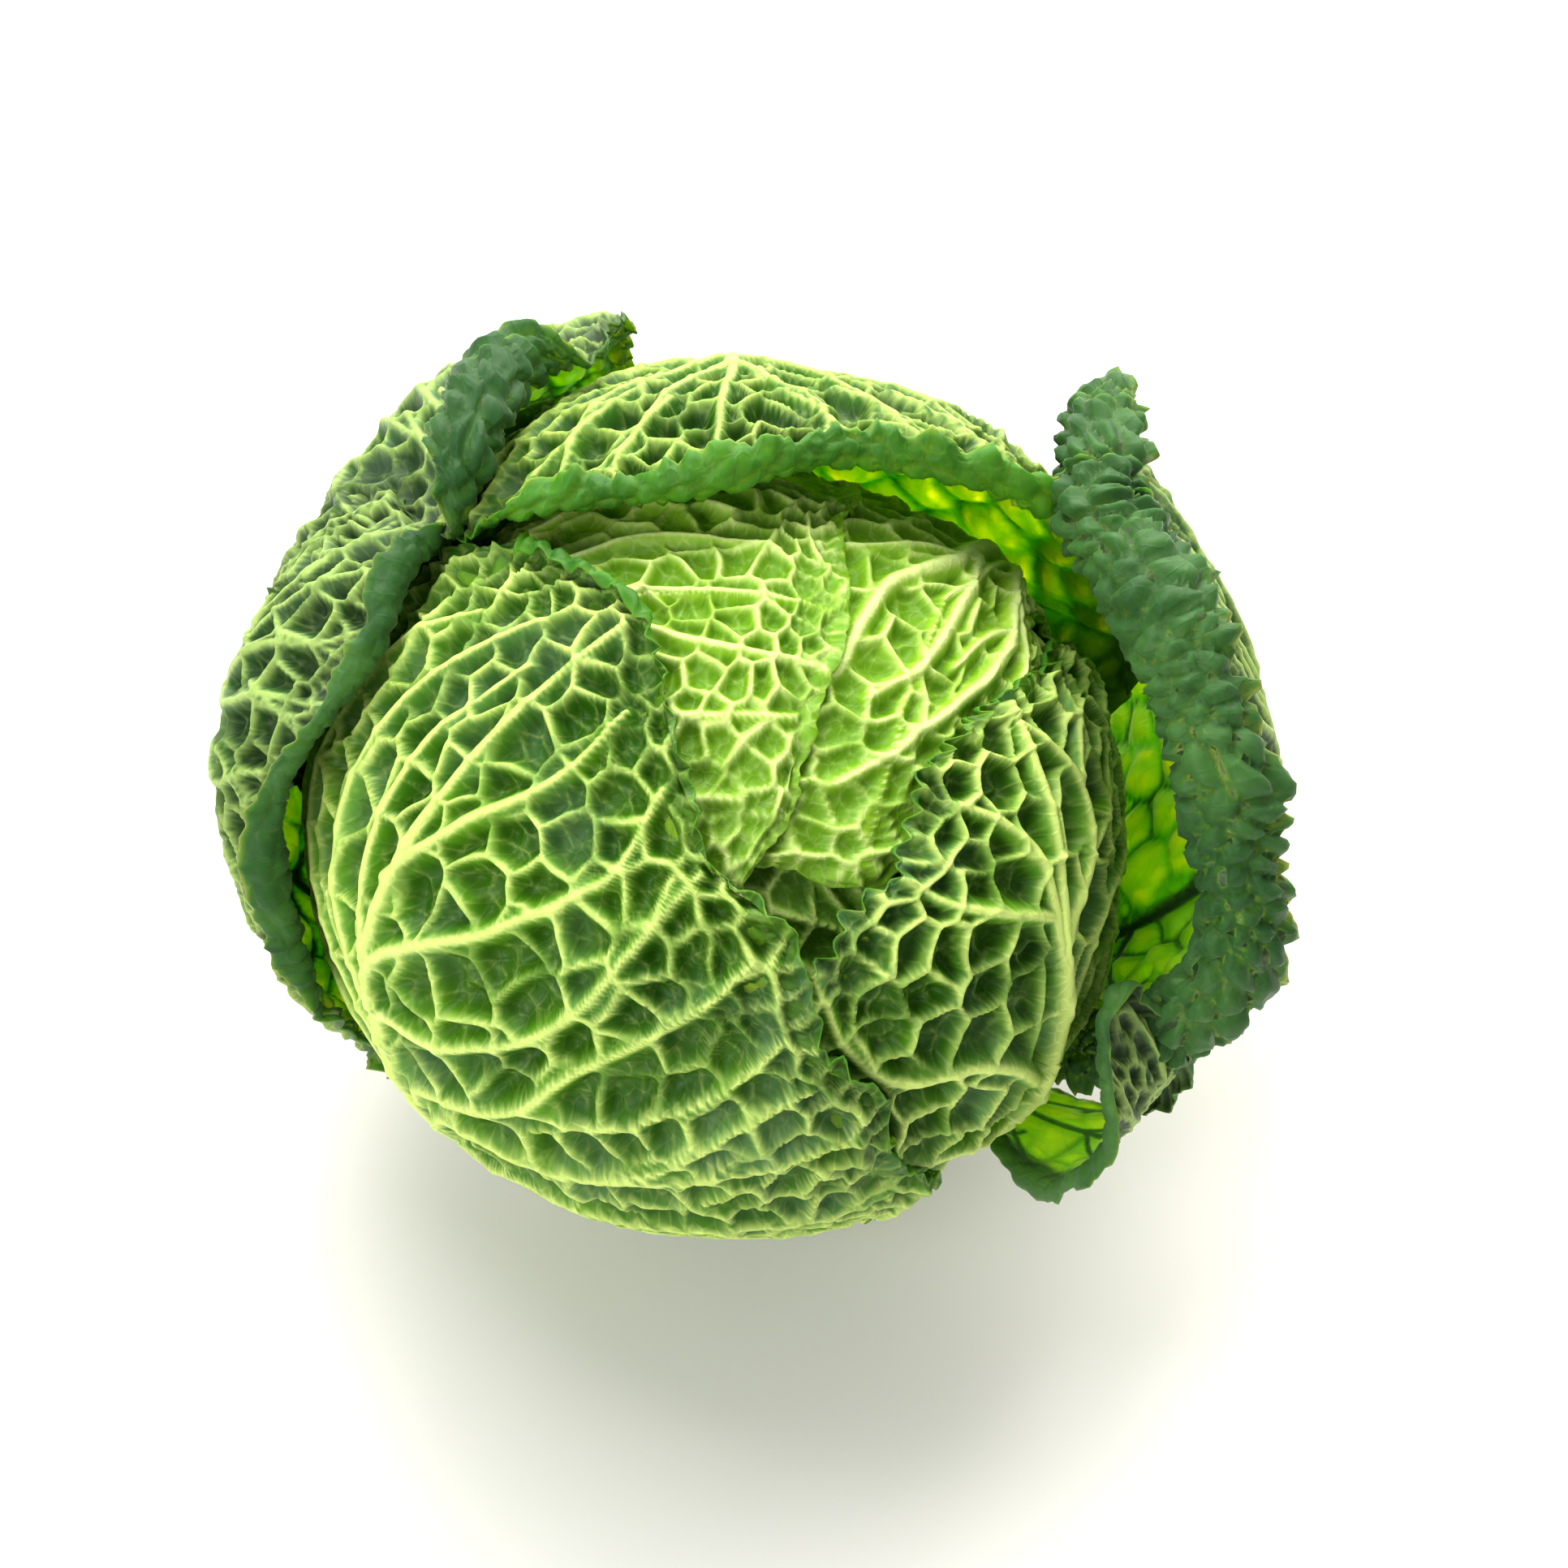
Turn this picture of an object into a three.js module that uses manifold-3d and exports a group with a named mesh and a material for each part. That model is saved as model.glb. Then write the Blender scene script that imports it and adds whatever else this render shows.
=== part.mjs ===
// A savoy cabbage standing on its cut stem: a tight head inside three wrapper leaves, with loose
// outer leaves around it. Millimetres, +Z up. Each leaf is one closed shell with a rib along its back.
import * as THREE from 'three';
import Module from 'manifold-3d';

// Driving dimensions, in millimetres and degrees.
const HEART_RADIUS = 76;
const HEART_HEIGHT_SHARE = 1.0;
const STEM_FOOT = -104;
const STEM_RADIUS_FOOT = 17;
const STEM_RADIUS_TOP = 13;
const STEM_TOP = -70;
const STEM_EDGE = 1.5;
const LEAF_BASE_POLAR = 165;
const HEART_LEAF_THICK = 1.5;
const WRAPPER_THICK = 1.8;
const OUTER_THICK = 2.0;
const CLEARANCE = 0.4;
const ROWS = 30;
const BLADE_COLUMNS = [0, 0.06, 0.14, 0.3, 0.48, 0.66, 0.84, 1];
const ROLL_COLUMNS = 4;
const SPINE_REACH = 0.76;
const RIB_COLUMN_SHARE = 0.55;
const LEAST_CURL = 1.6;
const FREE_MARGIN = 0.36; // share of the way to the tip by which a margin is free of the stem

const GREENS = {
  heart: 0xa9cc58,
  heartLeaf: 0x9cc84c,
  wrapper: 0x5f9a3c,
  outer: 0x34613a,
  stem: 0xd9dfb0,
};

const wasm = await Module();
wasm.setup();

const radians = THREE.MathUtils.degToRad;

// A direction from the middle of the head: azimuth from +X towards +Y, polar angle down from +Z.
function direction(azimuth, polar) {
  const across = Math.sin(radians(polar));
  return new THREE.Vector3(
    across * Math.cos(radians(azimuth)),
    across * Math.sin(radians(azimuth)),
    Math.cos(radians(polar)),
  );
}

// The leaf's own grid on the head: x runs up the midrib's meridian, y runs across it, both in degrees.
class LeafFrame {
  constructor(azimuth) {
    this.out = direction(azimuth, 90);
    this.side = direction(azimuth + 90, 90);
    this.up = new THREE.Vector3(0, 0, 1);
  }

  flatten(azimuth, polar) {
    const d = direction(azimuth, polar);
    const across = Math.asin(THREE.MathUtils.clamp(d.dot(this.side), -1, 1));
    const along = Math.atan2(d.dot(this.out), d.dot(this.up));
    const turned = along < -Math.PI / 2 ? along + 2 * Math.PI : along;
    return new THREE.Vector2(THREE.MathUtils.radToDeg(turned), THREE.MathUtils.radToDeg(across));
  }

  raise(flat, radius) {
    const along = radians(flat.x);
    const across = radians(flat.y);
    return new THREE.Vector3()
      .addScaledVector(this.out, Math.cos(across) * Math.sin(along) * radius)
      .addScaledVector(this.up, Math.cos(across) * Math.cos(along) * radius)
      .addScaledVector(this.side, Math.sin(across) * radius);
  }
}

// The radius of a leaf's face from the middle of the head, eased between [polar angle, radius] stations.
function stationRadius(stations, along) {
  const first = stations[0];
  const last = stations[stations.length - 1];
  if (along >= first[0]) return first[1];
  if (along <= last[0]) return last[1];
  const k = stations.findIndex((station) => along > station[0]);
  const [lowAngle, lowRadius] = stations[k - 1];
  const [highAngle, highRadius] = stations[k];
  const share = THREE.MathUtils.smoothstep((lowAngle - along) / (lowAngle - highAngle), 0, 1);
  return THREE.MathUtils.lerp(lowRadius, highRadius, share);
}

// How strongly a leaf's left margin, tip and right margin each count at a place along the margin.
function marginShares(t) {
  const left = 1 - THREE.MathUtils.smoothstep(t, 0.12, 0.46);
  const right = THREE.MathUtils.smoothstep(t, 0.54, 0.88);
  return [left, 1 - left - right, right];
}

// The margin line, with its tip half way along whatever the number of points on either side.
function marginCurve(leaf, flat) {
  const curve = new THREE.SplineCurve([...leaf.left, leaf.tip, ...leaf.right].map(flat));
  const before = leaf.left.length;
  const after = leaf.right.length;
  return (t) => {
    const place = t < 0.5 ? 2 * t * before : before + (2 * t - 1) * after;
    return curve.getPoint(Math.min(place / (before + after), 1));
  };
}

// The middle face of a leaf as a grid: rows run round the margin from the left of the base past the tip
// to the right of the base, and columns run from the midrib out to the margin and on round its roll.
function leafGrid(leaf) {
  const frame = new LeafFrame(leaf.azimuth);
  const flat = ([azimuth, polar]) => frame.flatten(azimuth, polar);
  const margin = marginCurve(leaf, flat);
  const midrib = new THREE.SplineCurve(leaf.midrib.map(flat));
  const faceAt = (t, s) => {
    const way = 1 - Math.abs(2 * t - 1);
    const root = midrib.getPoint(SPINE_REACH * Math.sin((way * Math.PI) / 2));
    const edge = margin(t);
    const place = root.lerp(edge, s);
    const shares = marginShares(t);
    const flare = shares.reduce((sum, share, k) => sum + share * leaf.flare[k], 0);
    const wave = leaf.wave.height * Math.sin(2 * Math.PI * (leaf.wave.count * t + leaf.wave.start));
    const spread = THREE.MathUtils.smoothstep(way, 0, FREE_MARGIN);
    const lift = spread * (flare * s * s + wave * s ** 3);
    return frame.raise(place, stationRadius(leaf.stations, place.x) + lift);
  };
  const grid = [];
  for (let i = 0; i <= ROWS; i++) {
    const t = i / ROWS;
    const row = BLADE_COLUMNS.map((s) => faceAt(t, s));
    grid.push(leaf.roll ? row.concat(rolledEdge(leaf, faceAt, t)) : row);
  }
  return grid;
}

// The part of a leaf's face beyond its margin line, which curls away from the head or towards it.
function rolledEdge(leaf, faceAt, t) {
  const { radius, turn, from, to, way } = leaf.roll;
  const window = THREE.MathUtils.smoothstep(t, from, from + 0.1) *
    (1 - THREE.MathUtils.smoothstep(t, to - 0.1, to));
  const most = Math.max(radians(turn) * window, LEAST_CURL / radius);
  const step = 0.004;
  const edge = faceAt(t, 1);
  const before = faceAt(Math.max(t - step, 0), 1);
  const after = faceAt(Math.min(t + step, 1), 1);
  const along = after.sub(before).normalize();
  const inward = faceAt(t, 0.97).sub(edge).normalize();
  const normal = new THREE.Vector3().crossVectors(along, inward).normalize();
  if (normal.dot(edge) < 0) normal.negate();
  const outward = new THREE.Vector3().crossVectors(normal, along).normalize();
  if (outward.dot(inward) > 0) outward.negate();
  const points = [];
  for (let k = 1; k <= ROLL_COLUMNS; k++) {
    const a = (most * k) / ROLL_COLUMNS;
    points.push(edge.clone()
      .addScaledVector(outward, radius * Math.sin(a))
      .addScaledVector(normal, way * radius * (1 - Math.cos(a))));
  }
  return points;
}

// A normal for each grid point, facing away from the head over the blade.
function gridNormals(grid) {
  const last = grid.length - 1;
  const columns = grid[0].length;
  return grid.map((row, i) => row.map((point, j) => {
    const along = grid[Math.min(i + 1, last)][j].clone().sub(grid[Math.max(i - 1, 0)][j]);
    const across = row[Math.min(j + 1, columns - 1)].clone().sub(row[Math.max(j - 1, 0)]);
    if (j === 0) {
      const mirror = grid[last - i][1];
      const spineAlong = grid[Math.min(i + 1, last / 2)][0].clone().sub(grid[Math.max(i - 1, 0)][0]);
      const spine = i <= last / 2 ? spineAlong
        : grid[Math.max(i - 1, last / 2)][0].clone().sub(grid[Math.min(i + 1, last)][0]);
      const width = row[1].clone().sub(mirror);
      const normal = new THREE.Vector3().crossVectors(spine, width);
      if (normal.lengthSq() < 1e-9) return point.clone().normalize();
      normal.normalize();
      return normal.dot(point) < 0 ? normal.negate() : normal;
    }
    return new THREE.Vector3().crossVectors(across, along).normalize().negate();
  }));
}

// Moves a grid's margin and its two base rows outwards, so that the room a leaf takes clears its rim too.
function stretchRim(grid, grow) {
  const push = (point, inner) => {
    const step = point.clone().sub(inner).normalize();
    point.addScaledVector(step, grow);
  };
  for (const row of grid) push(row[row.length - 1], row[row.length - 2]);
  const last = grid.length - 1;
  for (let j = 0; j < grid[0].length; j++) {
    push(grid[0][j], grid[1][j]);
    if (j > 0) push(grid[last][j], grid[last - 1][j]);
  }
  grid[last][0].copy(grid[0][0]);
}

// One closed leaf shell: an outer face, an inner face and the rim between them.
function leafSolid(leaf, grow = 0) {
  const grid = leafGrid(leaf);
  if (grow > 0) stretchRim(grid, grow);
  const normals = gridNormals(grid);
  const rows = grid.length;
  const columns = grid[0].length;
  if (normals[Math.floor(rows / 4)][3].dot(grid[Math.floor(rows / 4)][3]) < 0) {
    normals.forEach((row) => row.forEach((n, j) => j > 0 && n.negate()));
  }
  const positions = [];
  const index = [[], []];
  for (let side = 0; side < 2; side++) {
    for (let i = 0; i < rows; i++) {
      index[side].push([]);
      for (let j = 0; j < columns; j++) {
        if (j === 0 && i > (rows - 1) / 2) {
          index[side][i].push(index[side][rows - 1 - i][0]);
          continue;
        }
        const rib = ribHeight(leaf, i, j, rows);
        const reach = (side === 0 ? leaf.thick / 2 + rib + grow : -leaf.thick / 2 - grow);
        const p = grid[i][j].clone().addScaledVector(normals[i][j], reach);
        index[side][i].push(positions.length / 3);
        positions.push(p.x, p.y, p.z);
      }
    }
  }
  const faces = [];
  const quad = (a, b, c, d) => faces.push(a, b, c, a, c, d);
  for (let i = 0; i < rows - 1; i++) {
    for (let j = 0; j < columns - 1; j++) {
      const [front, back] = index;
      quad(front[i][j], front[i][j + 1], front[i + 1][j + 1], front[i + 1][j]);
      quad(back[i][j], back[i + 1][j], back[i + 1][j + 1], back[i][j + 1]);
    }
    const rim = columns - 1;
    quad(index[0][i][rim], index[1][i][rim], index[1][i + 1][rim], index[0][i + 1][rim]);
  }
  for (let j = 0; j < columns - 1; j++) {
    const end = rows - 1;
    quad(index[0][0][j], index[1][0][j], index[1][0][j + 1], index[0][0][j + 1]);
    quad(index[0][end][j], index[0][end][j + 1], index[1][end][j + 1], index[1][end][j]);
  }
  return solidFrom(positions, withoutFlat(faces));
}

// The rib on a leaf's back is highest along the midrib at the base and fades towards the tip.
function ribHeight(leaf, i, j, rows) {
  if (j > 1) return 0;
  const way = 1 - Math.abs((2 * i) / (rows - 1) - 1);
  return leaf.rib * (1 - way) * (j === 0 ? 1 : RIB_COLUMN_SHARE);
}

function withoutFlat(faces) {
  const kept = [];
  for (let k = 0; k < faces.length; k += 3) {
    const [a, b, c] = faces.slice(k, k + 3);
    if (a !== b && b !== c && a !== c) kept.push(a, b, c);
  }
  return kept;
}

function solidFrom(positions, faces) {
  const make = (order) => new wasm.Manifold(new wasm.Mesh({
    numProp: 3,
    vertProperties: new Float32Array(positions),
    triVerts: new Uint32Array(order),
  }));
  const solid = make(faces);
  if (solid.volume() > 0) return solid;
  const turned = [];
  for (let k = 0; k < faces.length; k += 3) turned.push(faces[k], faces[k + 2], faces[k + 1]);
  return make(turned);
}

function solidFromGeometry(geometry) {
  const merged = new wasm.Mesh({
    numProp: 3,
    vertProperties: new Float32Array(geometry.attributes.position.array),
    triVerts: new Uint32Array(geometry.index.array),
  });
  merged.merge();
  return new wasm.Manifold(merged);
}

function heartSolid(grow = 0) {
  const geometry = new THREE.SphereGeometry(HEART_RADIUS + grow, 32, 20);
  geometry.rotateX(Math.PI / 2);
  geometry.scale(1, 1, HEART_HEIGHT_SHARE);
  return solidFromGeometry(geometry);
}

function stemSolid() {
  const outline = [
    [0, STEM_FOOT],
    [STEM_RADIUS_FOOT - STEM_EDGE, STEM_FOOT],
    [STEM_RADIUS_FOOT, STEM_FOOT + STEM_EDGE],
    [STEM_RADIUS_TOP, STEM_TOP],
    [0, STEM_TOP],
  ].map(([r, z]) => new THREE.Vector2(r, z));
  const geometry = new THREE.LatheGeometry(outline, 40);
  geometry.rotateX(Math.PI / 2);
  return solidFromGeometry(geometry);
}

// The innermost leaf that shows, a pale strip at the right of the head.
function heartLeafRight() {
  return {
    azimuth: 15,
    midrib: [[15, LEAF_BASE_POLAR], [15, 100], [15, 60]],
    left: [[-14, 162], [-38, 110], [-32, 60]],
    tip: [5, 38],
    right: [[50, 45], [70, 100], [44, 162]],
    stations: [[165, 77.9], [120, 78.2], [85, 83.5], [62, 84], [45, 80.5], [38, 78.2]],
    flare: [0, 0, 0],
    wave: { height: 0, count: 0, start: 0 },
    roll: null,
    thick: HEART_LEAF_THICK,
    rib: 0,
  };
}

// The heart leaf whose veins fan forwards from the back right.
function heartLeafBack() {
  return {
    azimuth: 42,
    midrib: [[42, LEAF_BASE_POLAR], [42, 110], [38, 68], [18, 38], [-40, 20]],
    left: [[72, 163], [98, 110], [110, 62], [165, 42], [222, 44], [262, 39]],
    tip: [300, 48],
    right: [[328, 50], [356, 51], [8, 54], [24, 60], [24, 90], [18, 120], [14, 163]],
    stations: [[165, 80.2], [120, 81], [90, 86.6], [62, 87.6], [45, 84.2], [25, 81.6], [-20, 80.6]],
    flare: [-2, 0, 0],
    wave: { height: 0, count: 0, start: 0 },
    roll: null,
    thick: HEART_LEAF_THICK,
    rib: 0.4,
  };
}

// The heart leaf that comes over the crown from the left, ending in a crinkled margin.
function heartLeafLeft() {
  return {
    azimuth: 178,
    midrib: [[178, LEAF_BASE_POLAR], [178, 90], [178, 30], [2, 8]],
    left: [[212, 163], [242, 110], [258, 70], [280, 40], [300, 25], [320, 19]],
    tip: [0, 18],
    right: [[50, 27], [62, 42], [95, 60], [118, 110], [144, 163]],
    stations: [[165, 81.2], [120, 81.4], [95, 83], [60, 84.6], [20, 84.4], [-30, 84]],
    flare: [0, 0, 0],
    wave: { height: 0, count: 0, start: 0 },
    roll: null,
    thick: HEART_LEAF_THICK,
    rib: 0.4,
  };
}

// The wrapper leaf at the front right, with its top margin tucked in against the head.
function wrapperFrontRight() {
  return {
    azimuth: 324,
    midrib: [[320, LEAF_BASE_POLAR], [321, 110], [325, 84], [330, 66], [346, 56]],
    left: [[290, 163], [268, 125], [272, 80], [290, 54], [306, 49], [321, 40], [336, 40]],
    tip: [352, 45],
    right: [[6, 54], [24, 72], [32, 98], [24, 130], [348, 163]],
    stations: [[165, 83.4], [135, 84], [112, 86], [95, 87.8], [60, 88.2], [40, 85.8]],
    flare: [-0.6, 0, 3.4],
    wave: { height: 0.4, count: 5, start: 0.2 },
    roll: null,
    thick: WRAPPER_THICK,
    rib: 3.5,
  };
}

// The large wrapper leaf at the front left, whose upper margin is curled back.
function wrapperFrontLeft() {
  return {
    azimuth: 214,
    midrib: [[216, LEAF_BASE_POLAR], [219, 110], [213, 78], [211, 50], [213, 28]],
    left: [[244, 163], [276, 142], [296, 122], [301, 102], [291, 82], [283, 66], [279, 50], [266, 38],
      [258, 27], [240, 18]],
    tip: [212, 13],
    right: [[188, 15], [165, 26], [154, 42], [148, 75], [156, 120], [192, 163]],
    stations: [[165, 86.4], [135, 86], [112, 86.8], [92, 89], [75, 91], [50, 91.2], [15, 90]],
    flare: [5, 0.5, 0.8],
    wave: { height: 0.6, count: 8, start: 0.1 },
    roll: { radius: 3.2, turn: 170, from: 0.44, to: 0.76, way: 1 },
    thick: WRAPPER_THICK,
    rib: 3.5,
  };
}

// The wrapper leaf at the back, standing off the head and bending forwards over it.
function wrapperBack() {
  return {
    azimuth: 88,
    midrib: [[88, LEAF_BASE_POLAR], [88, 110], [88, 60], [92, 22]],
    left: [[60, 163], [34, 125], [28, 88], [28, 60], [34, 42], [56, 27]],
    tip: [95, 13],
    right: [[138, 21], [151, 33], [152, 52], [148, 76], [144, 112], [114, 163]],
    stations: [[165, 88.6], [135, 92], [110, 101], [90, 105.5], [58, 108], [38, 103], [12, 97]],
    flare: [7, 0, -4],
    wave: { height: 1.2, count: 6, start: 0.3 },
    roll: { radius: 3.8, turn: 190, from: 0.2, to: 0.72, way: 1 },
    thick: WRAPPER_THICK,
    rib: 3,
  };
}

// The loose outer leaf at the back left, its margin rolled back in a thick curl that ends in a point.
function outerBackLeft() {
  return {
    azimuth: 130,
    midrib: [[130, LEAF_BASE_POLAR], [130, 110], [126, 78], [117, 60]],
    left: [[118, 163], [107, 120], [101, 85], [102, 63]],
    tip: [109, 49],
    right: [[121, 46], [137, 38], [149, 40], [157, 56], [163, 90], [157, 130], [142, 163]],
    stations: [[165, 91.5], [135, 97.5], [112, 110], [90, 119], [66, 121], [42, 103]],
    flare: [-5, 9, -9],
    wave: { height: 1, count: 5, start: 0.1 },
    roll: { radius: 6.5, turn: 215, from: 0.5, to: 0.76, way: 1 },
    thick: OUTER_THICK,
    rib: 3,
  };
}

// The loose outer leaf at the left.
function outerLeft() {
  return {
    azimuth: 172,
    midrib: [[174, LEAF_BASE_POLAR], [174, 110], [170, 78], [165, 60]],
    left: [[188, 163], [200, 130], [203, 108], [198, 90], [190, 72], [184, 58], [174, 49]],
    tip: [162, 46],
    right: [[150, 49], [142, 70], [140, 100], [146, 130], [162, 163]],
    stations: [[165, 92], [135, 93.5], [115, 99], [95, 109], [72, 115], [50, 112]],
    flare: [-9, -12, 13],
    wave: { height: 1.2, count: 6, start: 0.4 },
    roll: { radius: 2.8, turn: 180, from: 0.14, to: 0.62, way: 1 },
    thick: OUTER_THICK,
    rib: 3,
  };
}

// The loose outer leaf at the right, with the widest roll.
function outerRight() {
  return {
    azimuth: 5,
    midrib: [[4, LEAF_BASE_POLAR], [4, 120], [5, 85], [8, 66]],
    left: [[350, 163], [345, 130], [341, 104], [341, 86], [347, 70], [358, 59]],
    tip: [14, 52],
    right: [[27, 53], [38, 61], [51, 92], [38, 130], [20, 163]],
    stations: [[165, 91], [138, 92.5], [116, 103], [98, 117], [80, 124], [66, 121], [52, 111]],
    flare: [-18, -2, 17],
    wave: { height: 1, count: 5, start: 0 },
    roll: { radius: 8.5, turn: 210, from: 0.08, to: 0.78, way: 1 },
    thick: OUTER_THICK,
    rib: 3,
  };
}

// The low lobed leaf at the front right.
function outerFrontRight() {
  return {
    azimuth: 332,
    midrib: [[344, LEAF_BASE_POLAR], [341, 140], [332, 120], [330, 98]],
    left: [[338, 163], [337, 145], [332, 132], [323, 120], [320, 107], [323, 95]],
    tip: [330, 86],
    right: [[334, 92], [336, 104], [338, 120], [347, 141], [352, 163]],
    stations: [[165, 87.5], [142, 89.5], [129, 94], [114, 110], [101, 111], [86, 98]],
    flare: [-4, 0, 4],
    wave: { height: 0.6, count: 4, start: 0.6 },
    roll: { radius: 2.4, turn: 130, from: 0.16, to: 0.84, way: 1 },
    thick: OUTER_THICK,
    rib: 1,
  };
}

const LEAVES = [
  ['heart_leaf_right', heartLeafRight(), GREENS.heartLeaf],
  ['heart_leaf_back', heartLeafBack(), GREENS.heartLeaf],
  ['heart_leaf_left', heartLeafLeft(), GREENS.heartLeaf],
  ['wrapper_leaf_front_right', wrapperFrontRight(), GREENS.wrapper],
  ['wrapper_leaf_front_left', wrapperFrontLeft(), GREENS.wrapper],
  ['wrapper_leaf_back', wrapperBack(), GREENS.wrapper],
  ['outer_leaf_front_right', outerFrontRight(), GREENS.outer],
  ['outer_leaf_right', outerRight(), GREENS.outer],
  ['outer_leaf_back_left', outerBackLeft(), GREENS.outer],
  ['outer_leaf_left', outerLeft(), GREENS.outer],
];

function largestBody(solid) {
  const bodies = solid.decompose();
  bodies.sort((a, b) => b.volume() - a.volume());
  return bodies[0];
}

// Every piece with the room it needs cut out of the ones that lie outside it.
function assemble() {
  const heart = heartSolid();
  const pieces = [['heart', heart, GREENS.heart, 0.6]];
  const taken = [heartSolid(CLEARANCE)];
  const stem = largestBody(stemSolid().subtract(taken[0]));
  pieces.push(['stem', stem, GREENS.stem, 0.8]);
  const stemRoom = stemSolid().translate([0, 0, -STEM_FOOT]).scale([1.04, 1.04, 1])
    .translate([0, 0, STEM_FOOT]);
  taken.push(stemRoom);
  for (const [name, leaf, colour] of LEAVES) {
    let solid = leafSolid(leaf);
    for (const room of taken) solid = solid.subtract(room);
    pieces.push([name, largestBody(solid), colour, 0.6]);
    taken.push(leafSolid(leaf, CLEARANCE));
  }
  return pieces;
}

function asMesh([name, solid, colour, roughness]) {
  const data = solid.getMesh();
  const geometry = new THREE.BufferGeometry();
  geometry.setAttribute('position', new THREE.BufferAttribute(new Float32Array(data.vertProperties), 3));
  geometry.setIndex(new THREE.BufferAttribute(new Uint32Array(data.triVerts), 1));
  geometry.computeVertexNormals();
  const material = new THREE.MeshStandardMaterial({ color: colour, roughness, metalness: 0 });
  const mesh = new THREE.Mesh(geometry, material);
  mesh.name = name;
  return mesh;
}

// The whole cabbage, moved so that the stem's cut face is at the floor in the middle of its outline.
function cabbage() {
  const group = new THREE.Group();
  group.name = 'cabbage';
  for (const piece of assemble()) group.add(asMesh(piece));
  const box = new THREE.Box3().setFromObject(group);
  const middle = box.getCenter(new THREE.Vector3());
  for (const mesh of group.children) mesh.geometry.translate(-middle.x, -middle.y, -box.min.z);
  return group;
}

export default cabbage();
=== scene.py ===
"""A savoy cabbage head: cut stem, tight heart, wrapper leaves and loose outer leaves with curled margins."""

import enum
import logging
import math
from collections.abc import Callable, Sequence
from dataclasses import dataclass, field
from typing import ClassVar

import bpy
import numpy as np
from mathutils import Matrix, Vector, kdtree

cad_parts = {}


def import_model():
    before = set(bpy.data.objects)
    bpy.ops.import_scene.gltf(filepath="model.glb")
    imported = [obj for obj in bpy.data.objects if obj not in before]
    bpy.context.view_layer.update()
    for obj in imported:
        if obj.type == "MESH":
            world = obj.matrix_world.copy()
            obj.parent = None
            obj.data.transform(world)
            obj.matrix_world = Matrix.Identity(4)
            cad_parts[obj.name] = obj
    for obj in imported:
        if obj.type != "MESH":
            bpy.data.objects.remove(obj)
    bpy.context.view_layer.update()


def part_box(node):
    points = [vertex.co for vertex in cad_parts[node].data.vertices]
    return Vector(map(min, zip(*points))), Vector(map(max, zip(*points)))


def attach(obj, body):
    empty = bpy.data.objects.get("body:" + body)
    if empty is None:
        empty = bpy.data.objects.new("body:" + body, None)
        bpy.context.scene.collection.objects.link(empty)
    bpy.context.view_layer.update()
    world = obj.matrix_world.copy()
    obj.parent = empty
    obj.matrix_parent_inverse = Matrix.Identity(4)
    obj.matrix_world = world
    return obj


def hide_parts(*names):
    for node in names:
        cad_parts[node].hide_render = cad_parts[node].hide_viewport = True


LOG = logging.getLogger("cabbage")
MM = 0.001  # metres in a millimetre
SEED = 20
SPINE_REACH = 0.76  # share of the midrib from which side veins leave
FREE_MARGIN = 0.36  # share of the way to the tip by which a margin is free of the stem
LEAST_CURL = 1.6  # mm of margin beyond the blade where it isn't curled
BASE = 165  # polar angle of a leaf's foot, degrees
CLEAR = 0.15  # mm between a tight leaf's inside and the leaves that it lies on

Pair = tuple[float, float]
Array = np.ndarray


class Salt(enum.IntEnum):
    """What keeps the noises of one leaf apart."""

    SWAY = 0
    FINE_SWAY = 7
    STRENGTH = 20
    CRUMPLE = 30
    FOLD = 31
    BOW = 40
    FRILL = 60
    FINE_FRILL = 61
    RAGGED = 80
    LONG_RAGGED = 81


# ---------------------------------------------------------------- numbers and curves


def smoothstep(x: Array | float, low: float, high: float) -> Array:
    """An eased step from 0 at low to 1 at high.

    Args:
        x: Values to ease.
        low: Where the step starts.
        high: Where it ends.

    Returns:
        The eased values.
    """
    u = np.clip((np.asarray(x, float) - low) / (high - low), 0.0, 1.0)
    return u * u * (3 - 2 * u)


def unit(v: Array) -> Array:
    """The vectors along the last axis, brought to length one."""
    return v / np.maximum(np.linalg.norm(v, axis=-1, keepdims=True), 1e-9)


def spline(points: Array, place: Array) -> Array:
    """A smooth curve through evenly weighted points.

    Args:
        points: The points, one a row.
        place: Places along the curve from 0 to 1.

    Returns:
        The curve's points, one for each place.
    """
    last = len(points) - 1
    p = np.clip(place, 0, 1) * last
    k = np.minimum(np.floor(p).astype(int), last - 1)
    w = (p - k)[:, None]
    a, b = points[np.maximum(k - 1, 0)], points[k]
    c, d = points[k + 1], points[np.minimum(k + 2, last)]
    start, end = (c - a) / 2, (d - b) / 2
    return (2 * b - 2 * c + start + end) * w**3 + (3 * c - 3 * b - 2 * start - end) * w**2 + start * w + b


def noise(p: Array, seed: float) -> Array:
    """Smooth noise on a unit lattice.

    Args:
        p: Points, three numbers each.
        seed: Which noise.

    Returns:
        A value from -1 to 1 for each point.
    """
    cell = np.floor(p)
    f = p - cell
    u = f * f * (3 - 2 * f)
    total = np.zeros(p.shape[:-1])
    for dx in (0, 1):
        for dy in (0, 1):
            for dz in (0, 1):
                q = cell + (dx, dy, dz)
                h = np.sin(q @ np.array([127.1, 311.7, 74.7]) + seed * 13.37) * 43758.5453
                weight = (
                    (u[..., 0] if dx else 1 - u[..., 0])
                    * (u[..., 1] if dy else 1 - u[..., 1])
                    * (u[..., 2] if dz else 1 - u[..., 2])
                )
                total += weight * (h - np.floor(h))
    return 2 * total - 1


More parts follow.
